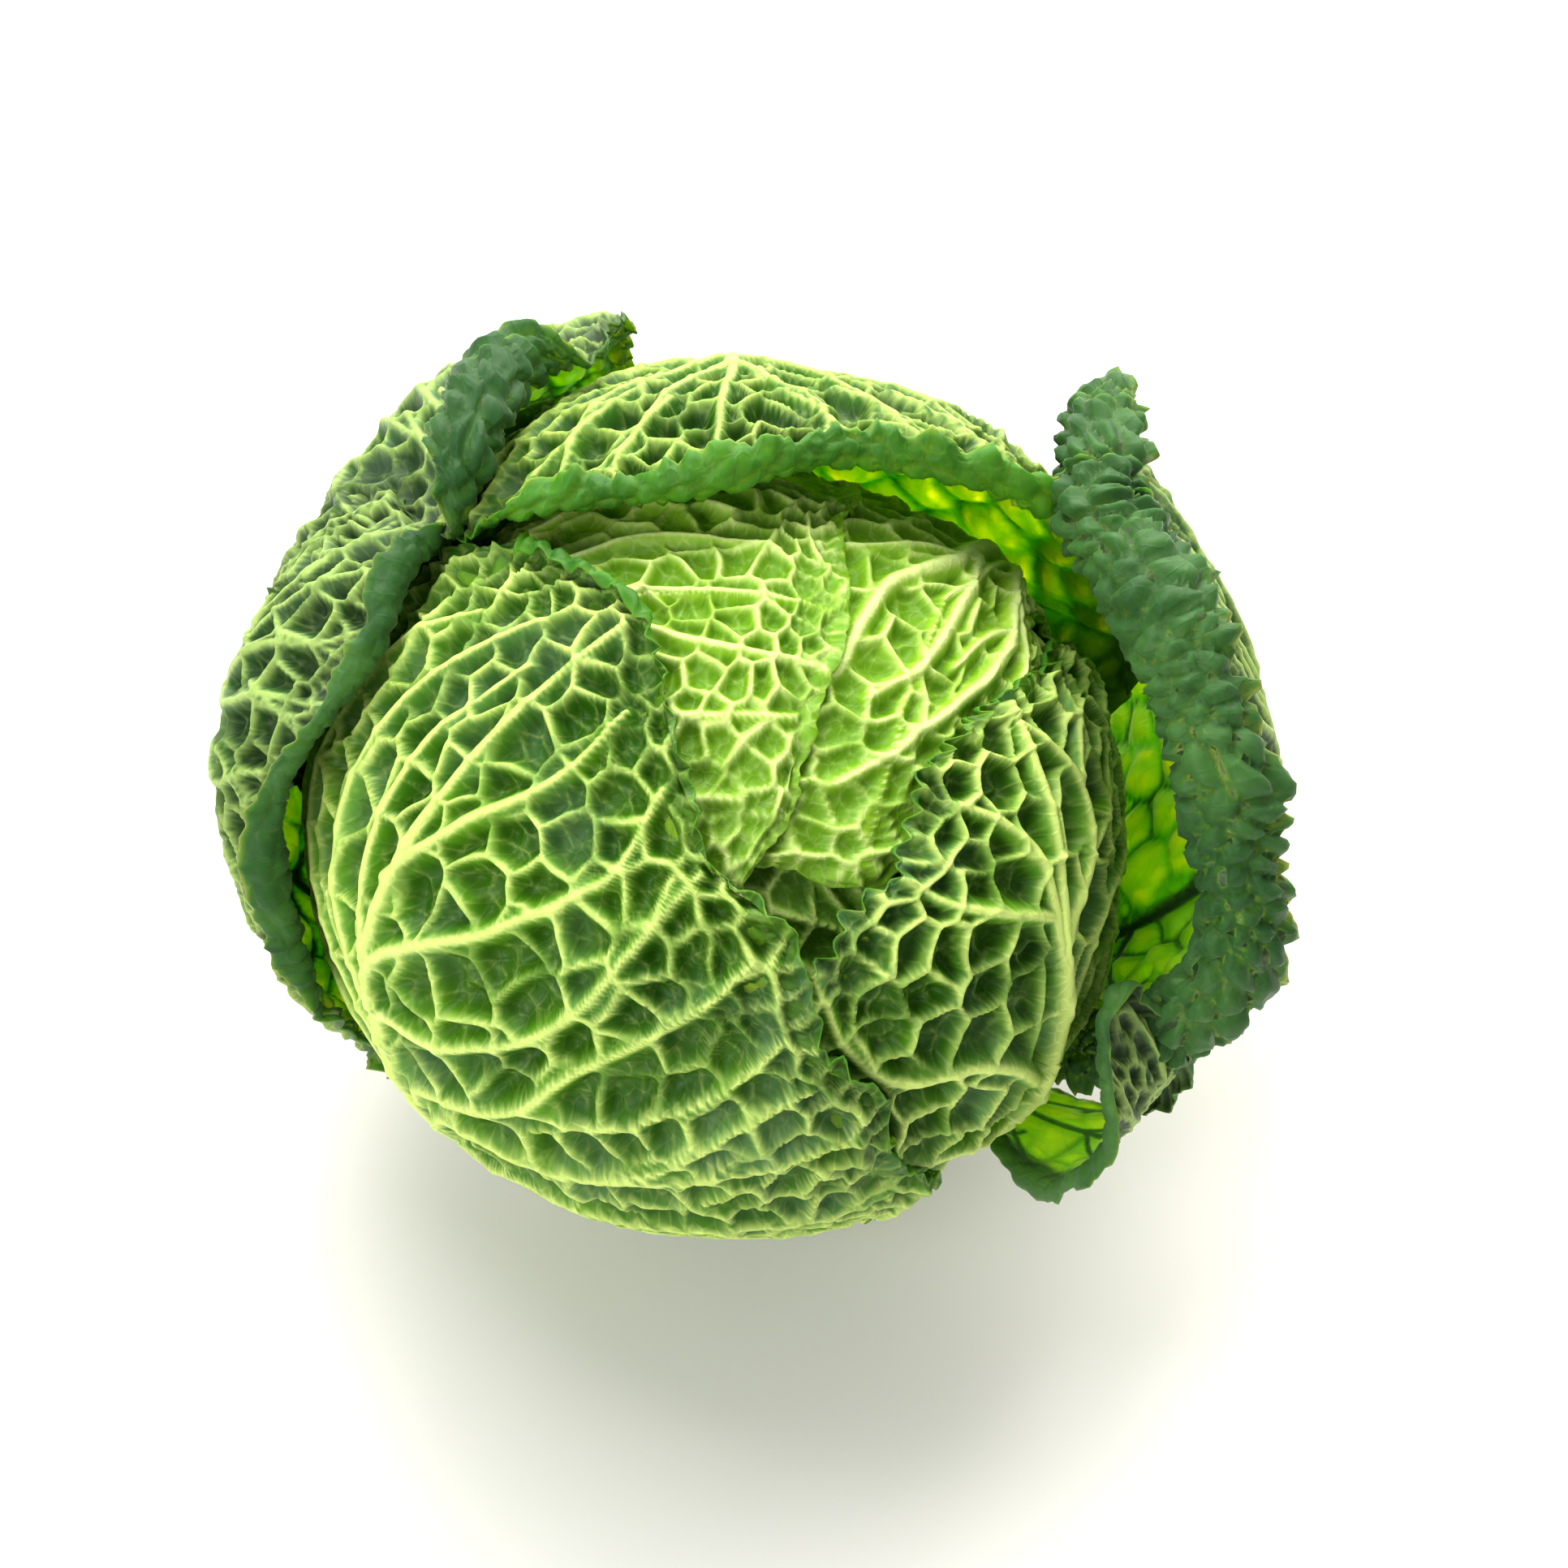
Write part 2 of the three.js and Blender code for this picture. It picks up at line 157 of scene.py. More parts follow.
def evened(values: Array) -> Array:
    """A table of heights with each one averaged with its neighbours.

    Args:
        values: Rows and columns of heights.

    Returns:
        The evened table, of the same size.
    """
    padded = np.pad(values, 1, mode="edge")
    rows = 0.25 * padded[:-2] + 0.5 * padded[1:-1] + 0.25 * padded[2:]
    return 0.25 * rows[:, :-2] + 0.5 * rows[:, 1:-1] + 0.25 * rows[:, 2:]


def direction(azimuth: Array | float, polar: Array | float) -> Array:
    """Directions from the middle of the head.

    Args:
        azimuth: Degrees from +X towards +Y.
        polar: Degrees down from +Z.

    Returns:
        Vectors of length one.
    """
    a, p = np.radians(azimuth), np.radians(polar)
    return np.stack(np.broadcast_arrays(np.sin(p) * np.cos(a), np.sin(p) * np.sin(a), np.cos(p)), -1)


# ---------------------------------------------------------------- what a leaf is


@dataclass(frozen=True)
class Curl:
    """A margin rolled outwards: its radius in mm, its turn in degrees and the stretch that it takes."""

    radius: float
    turn: float
    start: float
    stop: float


@dataclass(frozen=True)
class Wave:
    """A slow in and out of the margin."""

    height: float = 0.0
    count: float = 0.0
    start: float = 0.0


@dataclass(frozen=True)
class Vein:
    """A thick vein along (azimuth, polar) points, with its widths in mm at its root and its end."""

    points: tuple[Pair, ...]
    root: float
    end: float


@dataclass(frozen=True)
class Relief:
    """How deep a leaf's lamina sinks between its veins, and how wide its fields are, in mm."""

    field_mid: float = 15.0
    field_rim: float = 8.0
    depth: float = 3.2
    fine_depth: float = 0.9
    frill: float = 1.4
    bow: float = 1.2
    curl_share: float = 0.75


@dataclass(frozen=True)
class LeafShape:
    """A leaf's outline on the head and its distance from the head's middle, in degrees and mm."""

    name: str
    slot: str
    azimuth: float
    midrib: tuple[Pair, ...]
    left: tuple[Pair, ...]
    tip: Pair
    right: tuple[Pair, ...]
    stations: tuple[Pair, ...]
    flare: tuple[float, float, float] = (0, 0, 0)
    wave: Wave = Wave()
    curl: Curl | None = None
    thick: float = 1.8
    rib_width: float = 5.0
    veins: tuple[Vein, ...] = ()
    laterals: tuple[float, ...] = ()
    relief: Relief = Relief()
    rows: int = 360
    blade: int = 110
    inner_blade: int = 26
    covered_by: tuple[str, ...] = ()


class LeafFace:
    """The smooth middle face of a leaf, before its veins and fields are raised on it."""

    def __init__(self, shape: LeafShape) -> None:
        """Sets up the leaf's own grid on the head."""
        self.shape = shape
        self.out = direction(shape.azimuth, 90)
        self.side = direction(shape.azimuth + 90, 90)
        self.up = np.array([0.0, 0.0, 1.0])
        self.rest_radius = float(np.mean([r for _, r in shape.stations]))
        self._margin = self.flatten(np.array([*shape.left, shape.tip, *shape.right], float))
        self._midrib = self.flatten(np.array(shape.midrib, float))

    def flatten(self, places: Array) -> Array:
        """(azimuth, polar) places on the leaf's own grid: degrees along its midrib and across it."""
        d = direction(places[:, 0], places[:, 1])
        across = np.arcsin(np.clip(d @ self.side, -1, 1))
        along = np.arctan2(d @ self.out, d @ self.up)
        along = np.where(along < -math.pi / 2, along + 2 * math.pi, along)
        return np.degrees(np.stack([along, across], -1))

    def raised(self, flat: Array, radius: Array | float) -> Array:
        """Grid places at a radius from the head's middle, in mm."""
        along, across = np.radians(flat[..., 0]), np.radians(flat[..., 1])
        ray = (
            (np.cos(across) * np.sin(along))[..., None] * self.out
            + (np.cos(across) * np.cos(along))[..., None] * self.up
            + np.sin(across)[..., None] * self.side
        )
        return ray * np.asarray(radius)[..., None]

    def station_radius(self, along: Array) -> Array:
        """The blade's radius at places along its midrib's meridian."""
        stations = np.array(self.shape.stations, float)
        radius = np.full(along.shape, stations[0, 1])
        for (low, a), (high, b) in zip(stations[:-1], stations[1:]):
            share = smoothstep((low - along) / (low - high), 0, 1)
            radius = np.where(along <= low, a + (b - a) * share, radius)
        return radius

    def ends(self, t: Array) -> tuple[Array, Array]:
        """The grid places on the midrib and on the margin between which a row runs."""
        way = 1 - np.abs(2 * t - 1)
        root = spline(self._midrib, SPINE_REACH * np.sin(way * math.pi / 2))
        before, after = len(self.shape.left), len(self.shape.right)
        place = np.where(t < 0.5, 2 * t * before, before + (2 * t - 1) * after) / (before + after)
        return root, spline(self._margin, place)

    def flat_at(self, t: Array, s: Array) -> Array:
        """Grid places for t round the margin and s from the midrib out to it, a row for each t."""
        root, edge = self.ends(t)
        return root[:, None, :] + (edge - root)[:, None, :] * s[None, :, None]

    def rest_line(self, t: Array, s: Array) -> Array:
        """Points at rest for places t round the margin and s out to it, taken one by one."""
        root, edge = self.ends(t)
        return self.raised(root + (edge - root) * s[:, None], np.full(len(t), self.rest_radius))

    def lift(self, t: Array, s: Array) -> Array:
        """How far flare and wave carry the blade off its stations."""
        left = 1 - smoothstep(t, 0.12, 0.46)
        right = smoothstep(t, 0.54, 0.88)
        flares = self.shape.flare
        flare = left * flares[0] + (1 - left - right) * flares[1] + right * flares[2]
        wave = self.shape.wave
        swing = wave.height * np.sin(2 * math.pi * (wave.count * t + wave.start))
        spread = smoothstep(1 - np.abs(2 * t - 1), 0, FREE_MARGIN)
        return spread[:, None] * (flare[:, None] * s[None, :] ** 2 + swing[:, None] * s[None, :] ** 3)

    def blade(self, t: Array, s: Array) -> tuple[Array, Array]:
        """The blade's points in mm, and the same points at rest on a ball, where patterns are laid out."""
        flat = self.flat_at(t, s)
        radius = self.station_radius(flat[..., 0]) + self.lift(t, s)
        return self.raised(flat, radius), self.raised(flat, np.full(radius.shape, self.rest_radius))

    def curled(self, t: Array) -> Array:
        """How much of its curl the margin has at each place, from 0 to 1."""
        curl = self.shape.curl
        if curl is None:
            return np.zeros(t.shape)
        return smoothstep(t, curl.start, curl.start + 0.1) * (1 - smoothstep(t, curl.stop - 0.1, curl.stop))

    def grid(self, t: Array, s: Array, curl: Array) -> tuple[Array, Array, Array]:
        """The blade and its curled margin.

        Args:
            t: Places round the margin.
            s: Places from the midrib to the margin.
            curl: Places round the curl, from just above 0 to 1.

        Returns:
            Points, points at rest, and how far out each column is: 1 at the blade's end, 2 at the curl's.
        """
        points, rest = self.blade(t, s)
        edge, rest_edge = points[:, -1], rest[:, -1]
        step = 0.004
        before = self.blade(np.maximum(t - step, 0), np.array([1.0]))[0][:, 0]
        after = self.blade(np.minimum(t + step, 1), np.array([1.0]))[0][:, 0]
        near, rest_near = (x[:, 0] for x in self.blade(t, np.array([0.97])))
        along = unit(after - before)
        inward = unit(near - edge)
        normal = unit(np.cross(along, inward))
        normal *= np.where((normal * edge).sum(-1) < 0, -1, 1)[:, None]
        outward = unit(np.cross(normal, along))
        outward *= np.where((outward * inward).sum(-1) > 0, -1, 1)[:, None]
        rest_out = unit(rest_edge - rest_near)
        shape = self.shape.curl or Curl(3.0, 0.0, 0.0, 1.0)
        window = self.curled(t)
        least = LEAST_CURL / shape.radius if self.shape.curl else 1.0 / shape.radius
        turn = np.maximum(math.radians(shape.turn) * window, least)[:, None] * curl[None, :]
        rolled = (
            edge[:, None]
            + outward[:, None] * (shape.radius * np.sin(turn))[..., None]
            + normal[:, None] * (shape.radius * (1 - np.cos(turn)))[..., None]
        )
        rest_rolled = rest_edge[:, None] + rest_out[:, None] * (shape.radius * turn)[..., None]
        reach = np.concatenate([s, 1 + curl])
        return np.concatenate([points, rolled], 1), np.concatenate([rest, rest_rolled], 1), reach


# ---------------------------------------------------------------- veins and fields


class Nearest:
    """Looks up the nearest of many points."""

    def __init__(self, points: Array) -> None:
        """Sorts the points for looking up."""
        self.points = points
        self._tree = kdtree.KDTree(len(points))
        for k, p in enumerate(points.tolist()):
            self._tree.insert(p, k)
        self._tree.balance()

    def one(self, places: Array) -> tuple[Array, Array]:
        """Distance to the nearest point, and which it is, for each place."""
        found = [self._tree.find(p)[1:] for p in places.tolist()]
        table = np.array(found, float)
        return table[:, 1], table[:, 0].astype(int)

    def edge(self, places: Array) -> Array:
        """Distance to the line half way between each place's two nearest points."""
        pairs = [self._tree.find_n(p, 2) for p in places.tolist()]
        first = np.array([[a[1], a[2]] for a, _ in pairs], float)
        second = np.array([[b[1], b[2]] for _, b in pairs], float)
        starts, ends = (self.points[table[:, 0].astype(int)] for table in (first, second))
        apart = np.linalg.norm(starts - ends, axis=1)
        return (second[:, 1] ** 2 - first[:, 1] ** 2) / (2 * np.maximum(apart, 1e-6))


class Network:
    """A leaf's thick veins, the net between them and a finer net within its fields, on the leaf at rest."""

    SWAY = 2.3  # mm that the net wanders
    SWAY_WAVE = 10.0  # mm over which it does
    THICK_SWAY = 0.6  # mm that thick veins wander
    FINE_SWAY = 0.5  # mm that the finer net wanders besides
    FINE_SWAY_WAVE = 3.0
    STRENGTH_WAVE = 9.0  # mm over which the net's veins grow strong or weak
    WALL = 0.135  # share of a field's width that its wall takes
    DOME = 0.4  # share of a blister's width from its edge to its top
    DIMPLE = 0.085  # share of a field's width that a dimple's wall takes
    NET_HEIGHT = 0.75  # mm that the net's veins stand up
    NET_WIDTH = 0.75  # mm from their middle to their foot
    NET_STRIPE = 0.85  # mm of pale colour beside their middle
    FINE_STRIPE = 0.4
    CRUMPLE_WAVE = 2.6  # mm across a crumple of the lamina
    FOLD_WAVE = 5.0

    def __init__(self, face: LeafFace, seed: int) -> None:
        """Lays out the veins and scatters the middles of the fields."""
        self.face = face
        self.relief = face.shape.relief
        self.seed = seed
        paths, halves = self._thick_veins()
        self.halves = halves
        self.thick = Nearest(paths)
        rng = np.random.default_rng(SEED + seed)
        self.fields = Nearest(self._scatter(rng, 1.0))
        self.fine = Nearest(self._scatter(rng, 0.5))

    def _thick_veins(self) -> tuple[Array, Array]:
        """Points along every thick vein at rest, with the half width there."""
        face, shape = self.face, self.face.shape
        paths: list[Array] = []
        halves: list[Array] = []

        def add(points: Array, root: float, end: float) -> None:
            paths.append(points)
            halves.append(np.linspace(root, end, len(points)) / 2)

        spine = face.blade(np.linspace(0, 0.5, 160), np.array([0.0]))[1][:, 0]
        tip = face.blade(np.array([0.5]), np.linspace(0, 0.95, 40))[1][0]
        add(np.concatenate([spine, tip]), shape.rib_width, shape.rib_width * 0.3)
        for vein in shape.veins:
            flat = face.flatten(np.array(vein.points, float))
            line = spline(flat, np.linspace(0, 1, 40 * len(flat)))
            add(face.raised(line, np.full(len(line), face.rest_radius)), vein.root, vein.end)
        for k, t in enumerate(shape.laterals):
            s = np.linspace(0.0, 0.98, 110)
            toward = -1.0 if t < 0.5 else 1.0
            sway = 0.018 * toward * (1 - s) * s * 4 + 0.006 * np.sin(9 * s + 2.1 * k)
            add(face.rest_line(np.clip(t + sway, 0.001, 0.999), s), shape.rib_width * 0.5, 1.3)
            fork = np.linspace(0.5, 0.97, 50)
            places = np.clip(t + toward * 0.035 * (fork - 0.5) / 0.47, 0.001, 0.999)
            add(face.rest_line(places, fork), 1.9, 1.1)
        return np.concatenate(paths), np.concatenate(halves)

    def _scatter(self, rng: np.random.Generator, share: float) -> Array:
        """Middles of the fields, closer together towards the margin.

        Args:
            rng: Where chance comes from.
            share: The fields' size as a share of the net's.

        Returns:
            The middles, at rest.
        """
        t = np.linspace(0, 1, 260)
        _, rest, reach = self.face.grid(t, np.linspace(0, 1, 110), np.linspace(0.1, 1, 12))
        spots = rest.reshape(-1, 3)
        out = np.tile(reach, len(t))
        order = rng.permutation(len(spots))[: int(7000 / share)]
        gaps = 0.72 * share * self.field_size(out)
        kept = spots[order[:1]]
        for start in range(1, len(order), 256):
            batch = order[start : start + 256]
            batch = batch[self._apart(spots[batch], kept).min(1) > gaps[batch]]
            apart = self._apart(spots[batch], spots[batch])
            chosen: list[int] = []
            for k in range(len(batch)):
                if (apart[k, chosen] > gaps[batch[k]]).all():
                    chosen.append(k)
            kept = np.concatenate([kept, spots[batch[chosen]]])
        return kept

    @staticmethod
    def _apart(first: Array, second: Array) -> Array:
        """Distances between every two points of two lots."""
        square = (first**2).sum(1)[:, None] + (second**2).sum(1)[None] - 2 * first @ second.T
        return np.sqrt(np.maximum(square, 0))

    def field_size(self, reach: Array) -> Array:
        """How wide the fields between veins are, in mm, at each reach from the midrib."""
        r = self.relief
        over_blade = r.field_mid + (r.field_rim - r.field_mid) * np.clip(reach, 0, 1) ** 1.5
        return over_blade * np.where(reach > 1, r.curl_share, 1.0)

    def measure(self, rest: Array, reach: Array) -> tuple[Array, Array, Array]:
        """Reads the net at places on the leaf.

        Args:
            rest: Places on the leaf at rest, in mm.
            reach: How far out each place is.

        Returns:
            How far the lamina sinks, from 0 to 1 and beyond, how high the veins stand in mm, and how much
            each place is vein.
        """
        relief = self.relief
        sway = self._wander(rest, self.SWAY_WAVE, Salt.SWAY)
        place = rest + self.SWAY * sway
        near, which = self.thick.one(rest + self.THICK_SWAY * sway)
        half = self.halves[which]
        beside = np.maximum(near - half, 0)
        net = self.fields.edge(place)
        fine_sway = self._wander(rest, self.FINE_SWAY_WAVE, Salt.FINE_SWAY)
        fine = self.fine.edge(place + self.FINE_SWAY * fine_sway)
        size = self.field_size(reach)
        over_curl = smoothstep(reach, 0.96, 1.06)
        # Some of the net's veins are strong and some hardly there.
        strength = 0.85 + 0.75 * noise(rest / self.STRENGTH_WAVE, self.seed + Salt.STRENGTH)
        strength = np.clip(strength, 0.25, 1.25)
        strength = strength + (1 - strength) * over_curl
        away = np.minimum(net / np.sqrt(strength) + 0.6 * (1 - strength).clip(0), beside + 0.3)
        away = np.sqrt(away**2 + 0.1)
        # Between veins the blade drops steeply to a level floor; on the curl each field is a round dome.
        floor = 1 - np.exp(-((away / (self.WALL * size)) ** 1.9))
        dome = 1 - (1 - np.clip(away / (self.DOME * size), 0, 1)) ** 2
        sunk = floor + (dome - floor) * over_curl
        dimple = 1 - np.exp(-((np.sqrt(fine**2 + 0.03) / (self.DIMPLE * size)) ** 1.6))
        crumple = 0.35 * noise(rest / self.CRUMPLE_WAVE, self.seed + Salt.CRUMPLE)
        crumple = crumple + 0.5 * noise(rest / self.FOLD_WAVE, self.seed + Salt.FOLD)
        height = 0.95 * half * np.exp(-((near / (0.95 * half)) ** 2))
        net_height = self.NET_HEIGHT * strength * np.exp(-((net / self.NET_WIDTH) ** 2))
        height = height + net_height * (1 - over_curl)
        fine_vein = 0.3 * np.exp(-((fine / self.FINE_STRIPE) ** 2))
        net_vein = 0.85 * np.minimum(strength, 1) * np.exp(-((net / self.NET_STRIPE) ** 4))
        net_vein = net_vein * (1 - 0.6 * over_curl)
        vein = np.maximum(np.exp(-((near / half) ** 4)), np.maximum(net_vein, fine_vein))
        small = relief.fine_depth * (dimple * (1 - 0.5 * over_curl) + crumple) * sunk
        return (relief.depth * sunk + small) / relief.depth, height, vein

    def _wander(self, rest: Array, wave: float, salt: Salt) -> Array:
        """A smooth wandering of places over a wave in mm: three numbers from -1 to 1 for each."""
        return np.stack([noise(rest / wave, self.seed + salt + k) for k in range(3)], -1)


# ---------------------------------------------------------------- how leaves lie on each other


class LeafMap:
    """A map of the head by direction, a degree a cell: how far out the leaves reach there."""

    def __init__(self) -> None:
        """Starts with nothing on the map."""
        self.reach = np.zeros((360, 181))

    @staticmethod
    def cells(points: Array) -> tuple[Array, Array, Array]:
        """Radius, azimuth and polar angle of points."""
        radius = np.linalg.norm(points, axis=-1)
        azimuth = np.degrees(np.arctan2(points[..., 1], points[..., 0])) % 360
        polar = np.degrees(np.arccos(np.clip(points[..., 2] / np.maximum(radius, 1e-9), -1, 1)))
        return radius, azimuth, polar

    @staticmethod
    def _spread(table: Array, join: Callable[[Array], Array]) -> Array:
        """Each cell joined with its neighbours, round the seam of the map."""
        layers = []
        for da in (-1, 0, 1):
            turned = np.roll(table, da, 0)
            padded = np.pad(turned, ((0, 0), (1, 1)), mode="edge")
            layers += [padded[:, k : k + table.shape[1]] for k in range(3)]
        return join(np.array(layers))

    @classmethod
    def coverage(cls, faces: Sequence[LeafFace]) -> Array:
        """How much the blades of some leaves cover each direction, from 0 to 1, eased off at their edges."""
        table = np.zeros((360, 181))
        for face in faces:
            points, _ = face.blade(np.linspace(0, 1, 900), np.linspace(0, 1, 260))
            _, azimuth, polar = cls.cells(points.reshape(-1, 3))
            table[azimuth.astype(int) % 360, np.round(polar).astype(int)] = 1
        for _ in range(4):
            table = cls._spread(table, lambda layers: layers.mean(0))
        return table

    @staticmethod
    def read(table: Array, azimuth: Array, polar: Array) -> Array:
        """The map's value at directions, evened out between cells."""
        a, p = azimuth - 0.5, np.clip(polar, 0, 179.99)
        i, k = np.floor(a).astype(int), np.floor(p).astype(int)
        u, w = a - i, p - k
        rows = (i % 360, (i + 1) % 360)
        low = table[rows[0], k] * (1 - u) + table[rows[1], k] * u
        high = table[rows[0], k + 1] * (1 - u) + table[rows[1], k + 1] * u
        return low * (1 - w) + high * w

    def lay(self, points: Array) -> None:
        """Adds a leaf's outside to the map."""
        radius, azimuth, polar = self.cells(points.reshape(-1, 3))
        np.maximum.at(self.reach, (azimuth.astype(int) % 360, np.round(polar).astype(int)), radius)

    def above(self, points: Array, gap: float) -> Array:
        """How far each point has to move out to clear the leaves laid so far by a gap, in mm."""
        radius, azimuth, polar = self.cells(points)
        table = self._spread(self.reach, lambda layers: layers.max(0))
        table = self._spread(table, lambda layers: layers.mean(0))
        return np.maximum(self.read(table, azimuth, polar) + gap - radius, 0)


# ---------------------------------------------------------------- materials


def linear(colour: str) -> tuple[float, float, float, float]:
    """An sRGB hex colour as linear light, with full alpha."""
    channels = [int(colour[k : k + 2], 16) / 255 for k in (1, 3, 5)]
    turned = [c / 12.92 if c <= 0.04045 else ((c + 0.055) / 1.055) ** 2.4 for c in channels]
    return (*turned, 1.0)


def add_node(
    tree: bpy.types.NodeTree, kind: str, settings: dict | None = None, **links: object
) -> bpy.types.Node:
    """Adds a node to a tree.

    Args:
        tree: The tree.
        kind: The node's type.
        settings: Its own settings by name.
        **links: Its inputs by name, with _ for a space, or i and a number: a value, or another node's output.

    Returns:
        The node.
    """
    node = tree.nodes.new(kind)
    for name, value in (settings or {}).items():
        setattr(node, name, value)
    for name, value in links.items():
        key = int(name[1:]) if name[0] == "i" and name[1:].isdigit() else name.replace("_", " ")
        socket = node.inputs[key]
        if isinstance(value, bpy.types.NodeSocket):
            tree.links.new(value, socket)
        else:
            socket.default_value = value
    return node


# Settings that several nodes share: colours mixed, a range eased, and numbers multiplied or added.
MIX = {"data_type": "RGBA"}
EASE = {"interpolation_type": "SMOOTHSTEP"}
TIMES = {"operation": "MULTIPLY"}
PLUS = {"operation": "ADD"}


@dataclass(frozen=True)
class LeafFinish:
    """Living savoy leaf: waxy lamina with a net of paler veins, thin enough for light to come through."""

    name: str
    lamina: str
    lamina_light: str
    # A deeper tone for the mottle, also used as painted shade in the pits and in the curl's creases.
    lamina_deep_and_shade: str
    vein: str
    rim: str
    roughness: float = 0.48
    glow: float = 0.35
    through: float = 1.4
    veinlet: float = 0.16
    bloom: float = 0.0
    wax: float = 0.0
    # A bright colour painted on the upper face's blade: painted light, as if daylight came through it.
    painted_glow: str = ""

    PATCH: ClassVar[float] = 18.0  # mm across a patch of lighter tone
    MOTTLE: ClassVar[float] = 3.0  # mm across a mottle of the spongy layer
    VEINLETS: ClassVar[float] = 3.4  # mm between the finest veins
    CLOUD: ClassVar[float] = 25.0  # mm across a patch of wax
    WAX_COLOUR: ClassVar[str] = "#a3c3a6"

    def build(self) -> bpy.types.Material:
        """The leaf's material."""
        material = bpy.data.materials.new(self.name)
        material.use_nodes = True
        tree = material.node_tree
        tree.nodes.clear()
        rest = add_node(tree, "ShaderNodeAttribute", {"attribute_name": "rest"}).outputs["Vector"]
        values = [
            add_node(tree, "ShaderNodeAttribute", {"attribute_name": name}).outputs["Fac"]
            for name in ("vein", "sunk", "rim", "shade")
        ]
        vein, sunk, rim, shade = values
        mottle = add_node(tree, "ShaderNodeTexNoise", Vector=rest, Scale=1 / self.MOTTLE, Detail=4.0)
        mottle = mottle.outputs[0]
        veinlet = self._veinlets(tree, rest)
        tone = self._lamina(tree, rest, mottle, sunk)
        if self.painted_glow:
            tone = self._paint_glow_and_crease_shade(tree, tone, sunk, shade)
        half = add_node(tree, "ShaderNodeMath", TIMES, i0=rim, i1=0.5).outputs[0]
        tone = add_node(tree, "ShaderNodeMix", MIX, i0=half, i6=tone, i7=linear(self.rim)).outputs[2]
        pale = add_node(
            tree,
            "ShaderNodeMath",
            {"operation": "MULTIPLY_ADD", "use_clamp": True},
            i0=veinlet,
            i1=self.veinlet,
            i2=vein,
        )
        pale = add_node(tree, "ShaderNodeMath", {"operation": "POWER"}, i0=pale.outputs[0], i1=1.8).outputs[0]
        tone = add_node(tree, "ShaderNodeMix", MIX, i0=pale, i6=tone, i7=linear(self.vein)).outputs[2]
        end = add_node(tree, "ShaderNodeOutputMaterial")
        tree.links.new(self._skin(tree, tone, veinlet, mottle, shade), end.inputs[0])
        return material

    def _veinlets(self, tree: bpy.types.NodeTree, rest: bpy.types.NodeSocket) -> bpy.types.NodeSocket:
        """The finest veins, as lines of 1 on 0."""
        warp = add_node(tree, "ShaderNodeTexNoise", Vector=rest, Scale=1 / 4, Detail=2.0).outputs[1]
        add = {"operation": "MULTIPLY_ADD"}
        bent = add_node(tree, "ShaderNodeVectorMath", add, i0=warp, i1=(2, 2, 2), i2=rest).outputs[0]
        edges = {"feature": "DISTANCE_TO_EDGE"}
        web = add_node(tree, "ShaderNodeTexVoronoi", edges, Vector=bent, Scale=1 / self.VEINLETS)
        line = add_node(
            tree,
            "ShaderNodeMapRange",
            EASE,
            Value=web.outputs["Distance"],
            From_Min=0.0,
            From_Max=0.13,
            To_Min=1.0,
            To_Max=0.0,
        )
        return line.outputs[0]

    def _lamina(
        self,
        tree: bpy.types.NodeTree,
        rest: bpy.types.NodeSocket,
        mottle: bpy.types.NodeSocket,
        sunk: bpy.types.NodeSocket,
    ) -> bpy.types.NodeSocket:
        """The colour between the veins: lighter in patches, darkened by painted shade where it sinks, waxy
        here and there.
        """
        light, deep_and_shade = linear(self.lamina_light), linear(self.lamina_deep_and_shade)
        patch = add_node(tree, "ShaderNodeTexNoise", Vector=rest, Scale=1 / self.PATCH, Detail=3.0).outputs[0]
        where = add_node(tree, "ShaderNodeMapRange", EASE, Value=patch, From_Min=0.35, From_Max=0.65)
        tone = add_node(tree, "ShaderNodeMix", MIX, i0=where.outputs[0], i6=linear(self.lamina), i7=light)
        speck = add_node(tree, "ShaderNodeMath", TIMES, i0=mottle, i1=0.35).outputs[0]
        tone = add_node(tree, "ShaderNodeMix", MIX, i0=speck, i6=tone.outputs[2], i7=deep_and_shade)
        # Painted shade darkens the lamina where it sinks, except on the face painted as lit through, which
        # isn't any darker there.
        pit_shade_strength = 0.0 if self.painted_glow else 0.7
        low = add_node(
            tree, "ShaderNodeMapRange", EASE, Value=sunk, From_Min=0.05, From_Max=0.95, To_Max=pit_shade_strength
        )
        tone = add_node(tree, "ShaderNodeMix", MIX, i0=low.outputs[0], i6=tone.outputs[2], i7=deep_and_shade)
        if self.wax:
            cloud = add_node(tree, "ShaderNodeTexNoise", Vector=rest, Scale=1 / self.CLOUD, Detail=5.0)
            amount = add_node(
                tree,
                "ShaderNodeMapRange",
                EASE,
                Value=cloud.outputs[0],
                From_Min=0.45,
                From_Max=0.75,
                To_Max=self.wax,
            )
            grey = linear(self.WAX_COLOUR)
            tone = add_node(tree, "ShaderNodeMix", MIX, i0=amount.outputs[0], i6=tone.outputs[2], i7=grey)
        return tone.outputs[2]

    def _paint_glow_and_crease_shade(
        self,
        tree: bpy.types.NodeTree,
        tone: bpy.types.NodeSocket,
        sunk: bpy.types.NodeSocket,
        shade: bpy.types.NodeSocket,
    ) -> bpy.types.NodeSocket:
        """The upper face: painted shade darkest in the creases between the curl's blisters, and the blade
        painted a bright colour as light coming through it.
        """
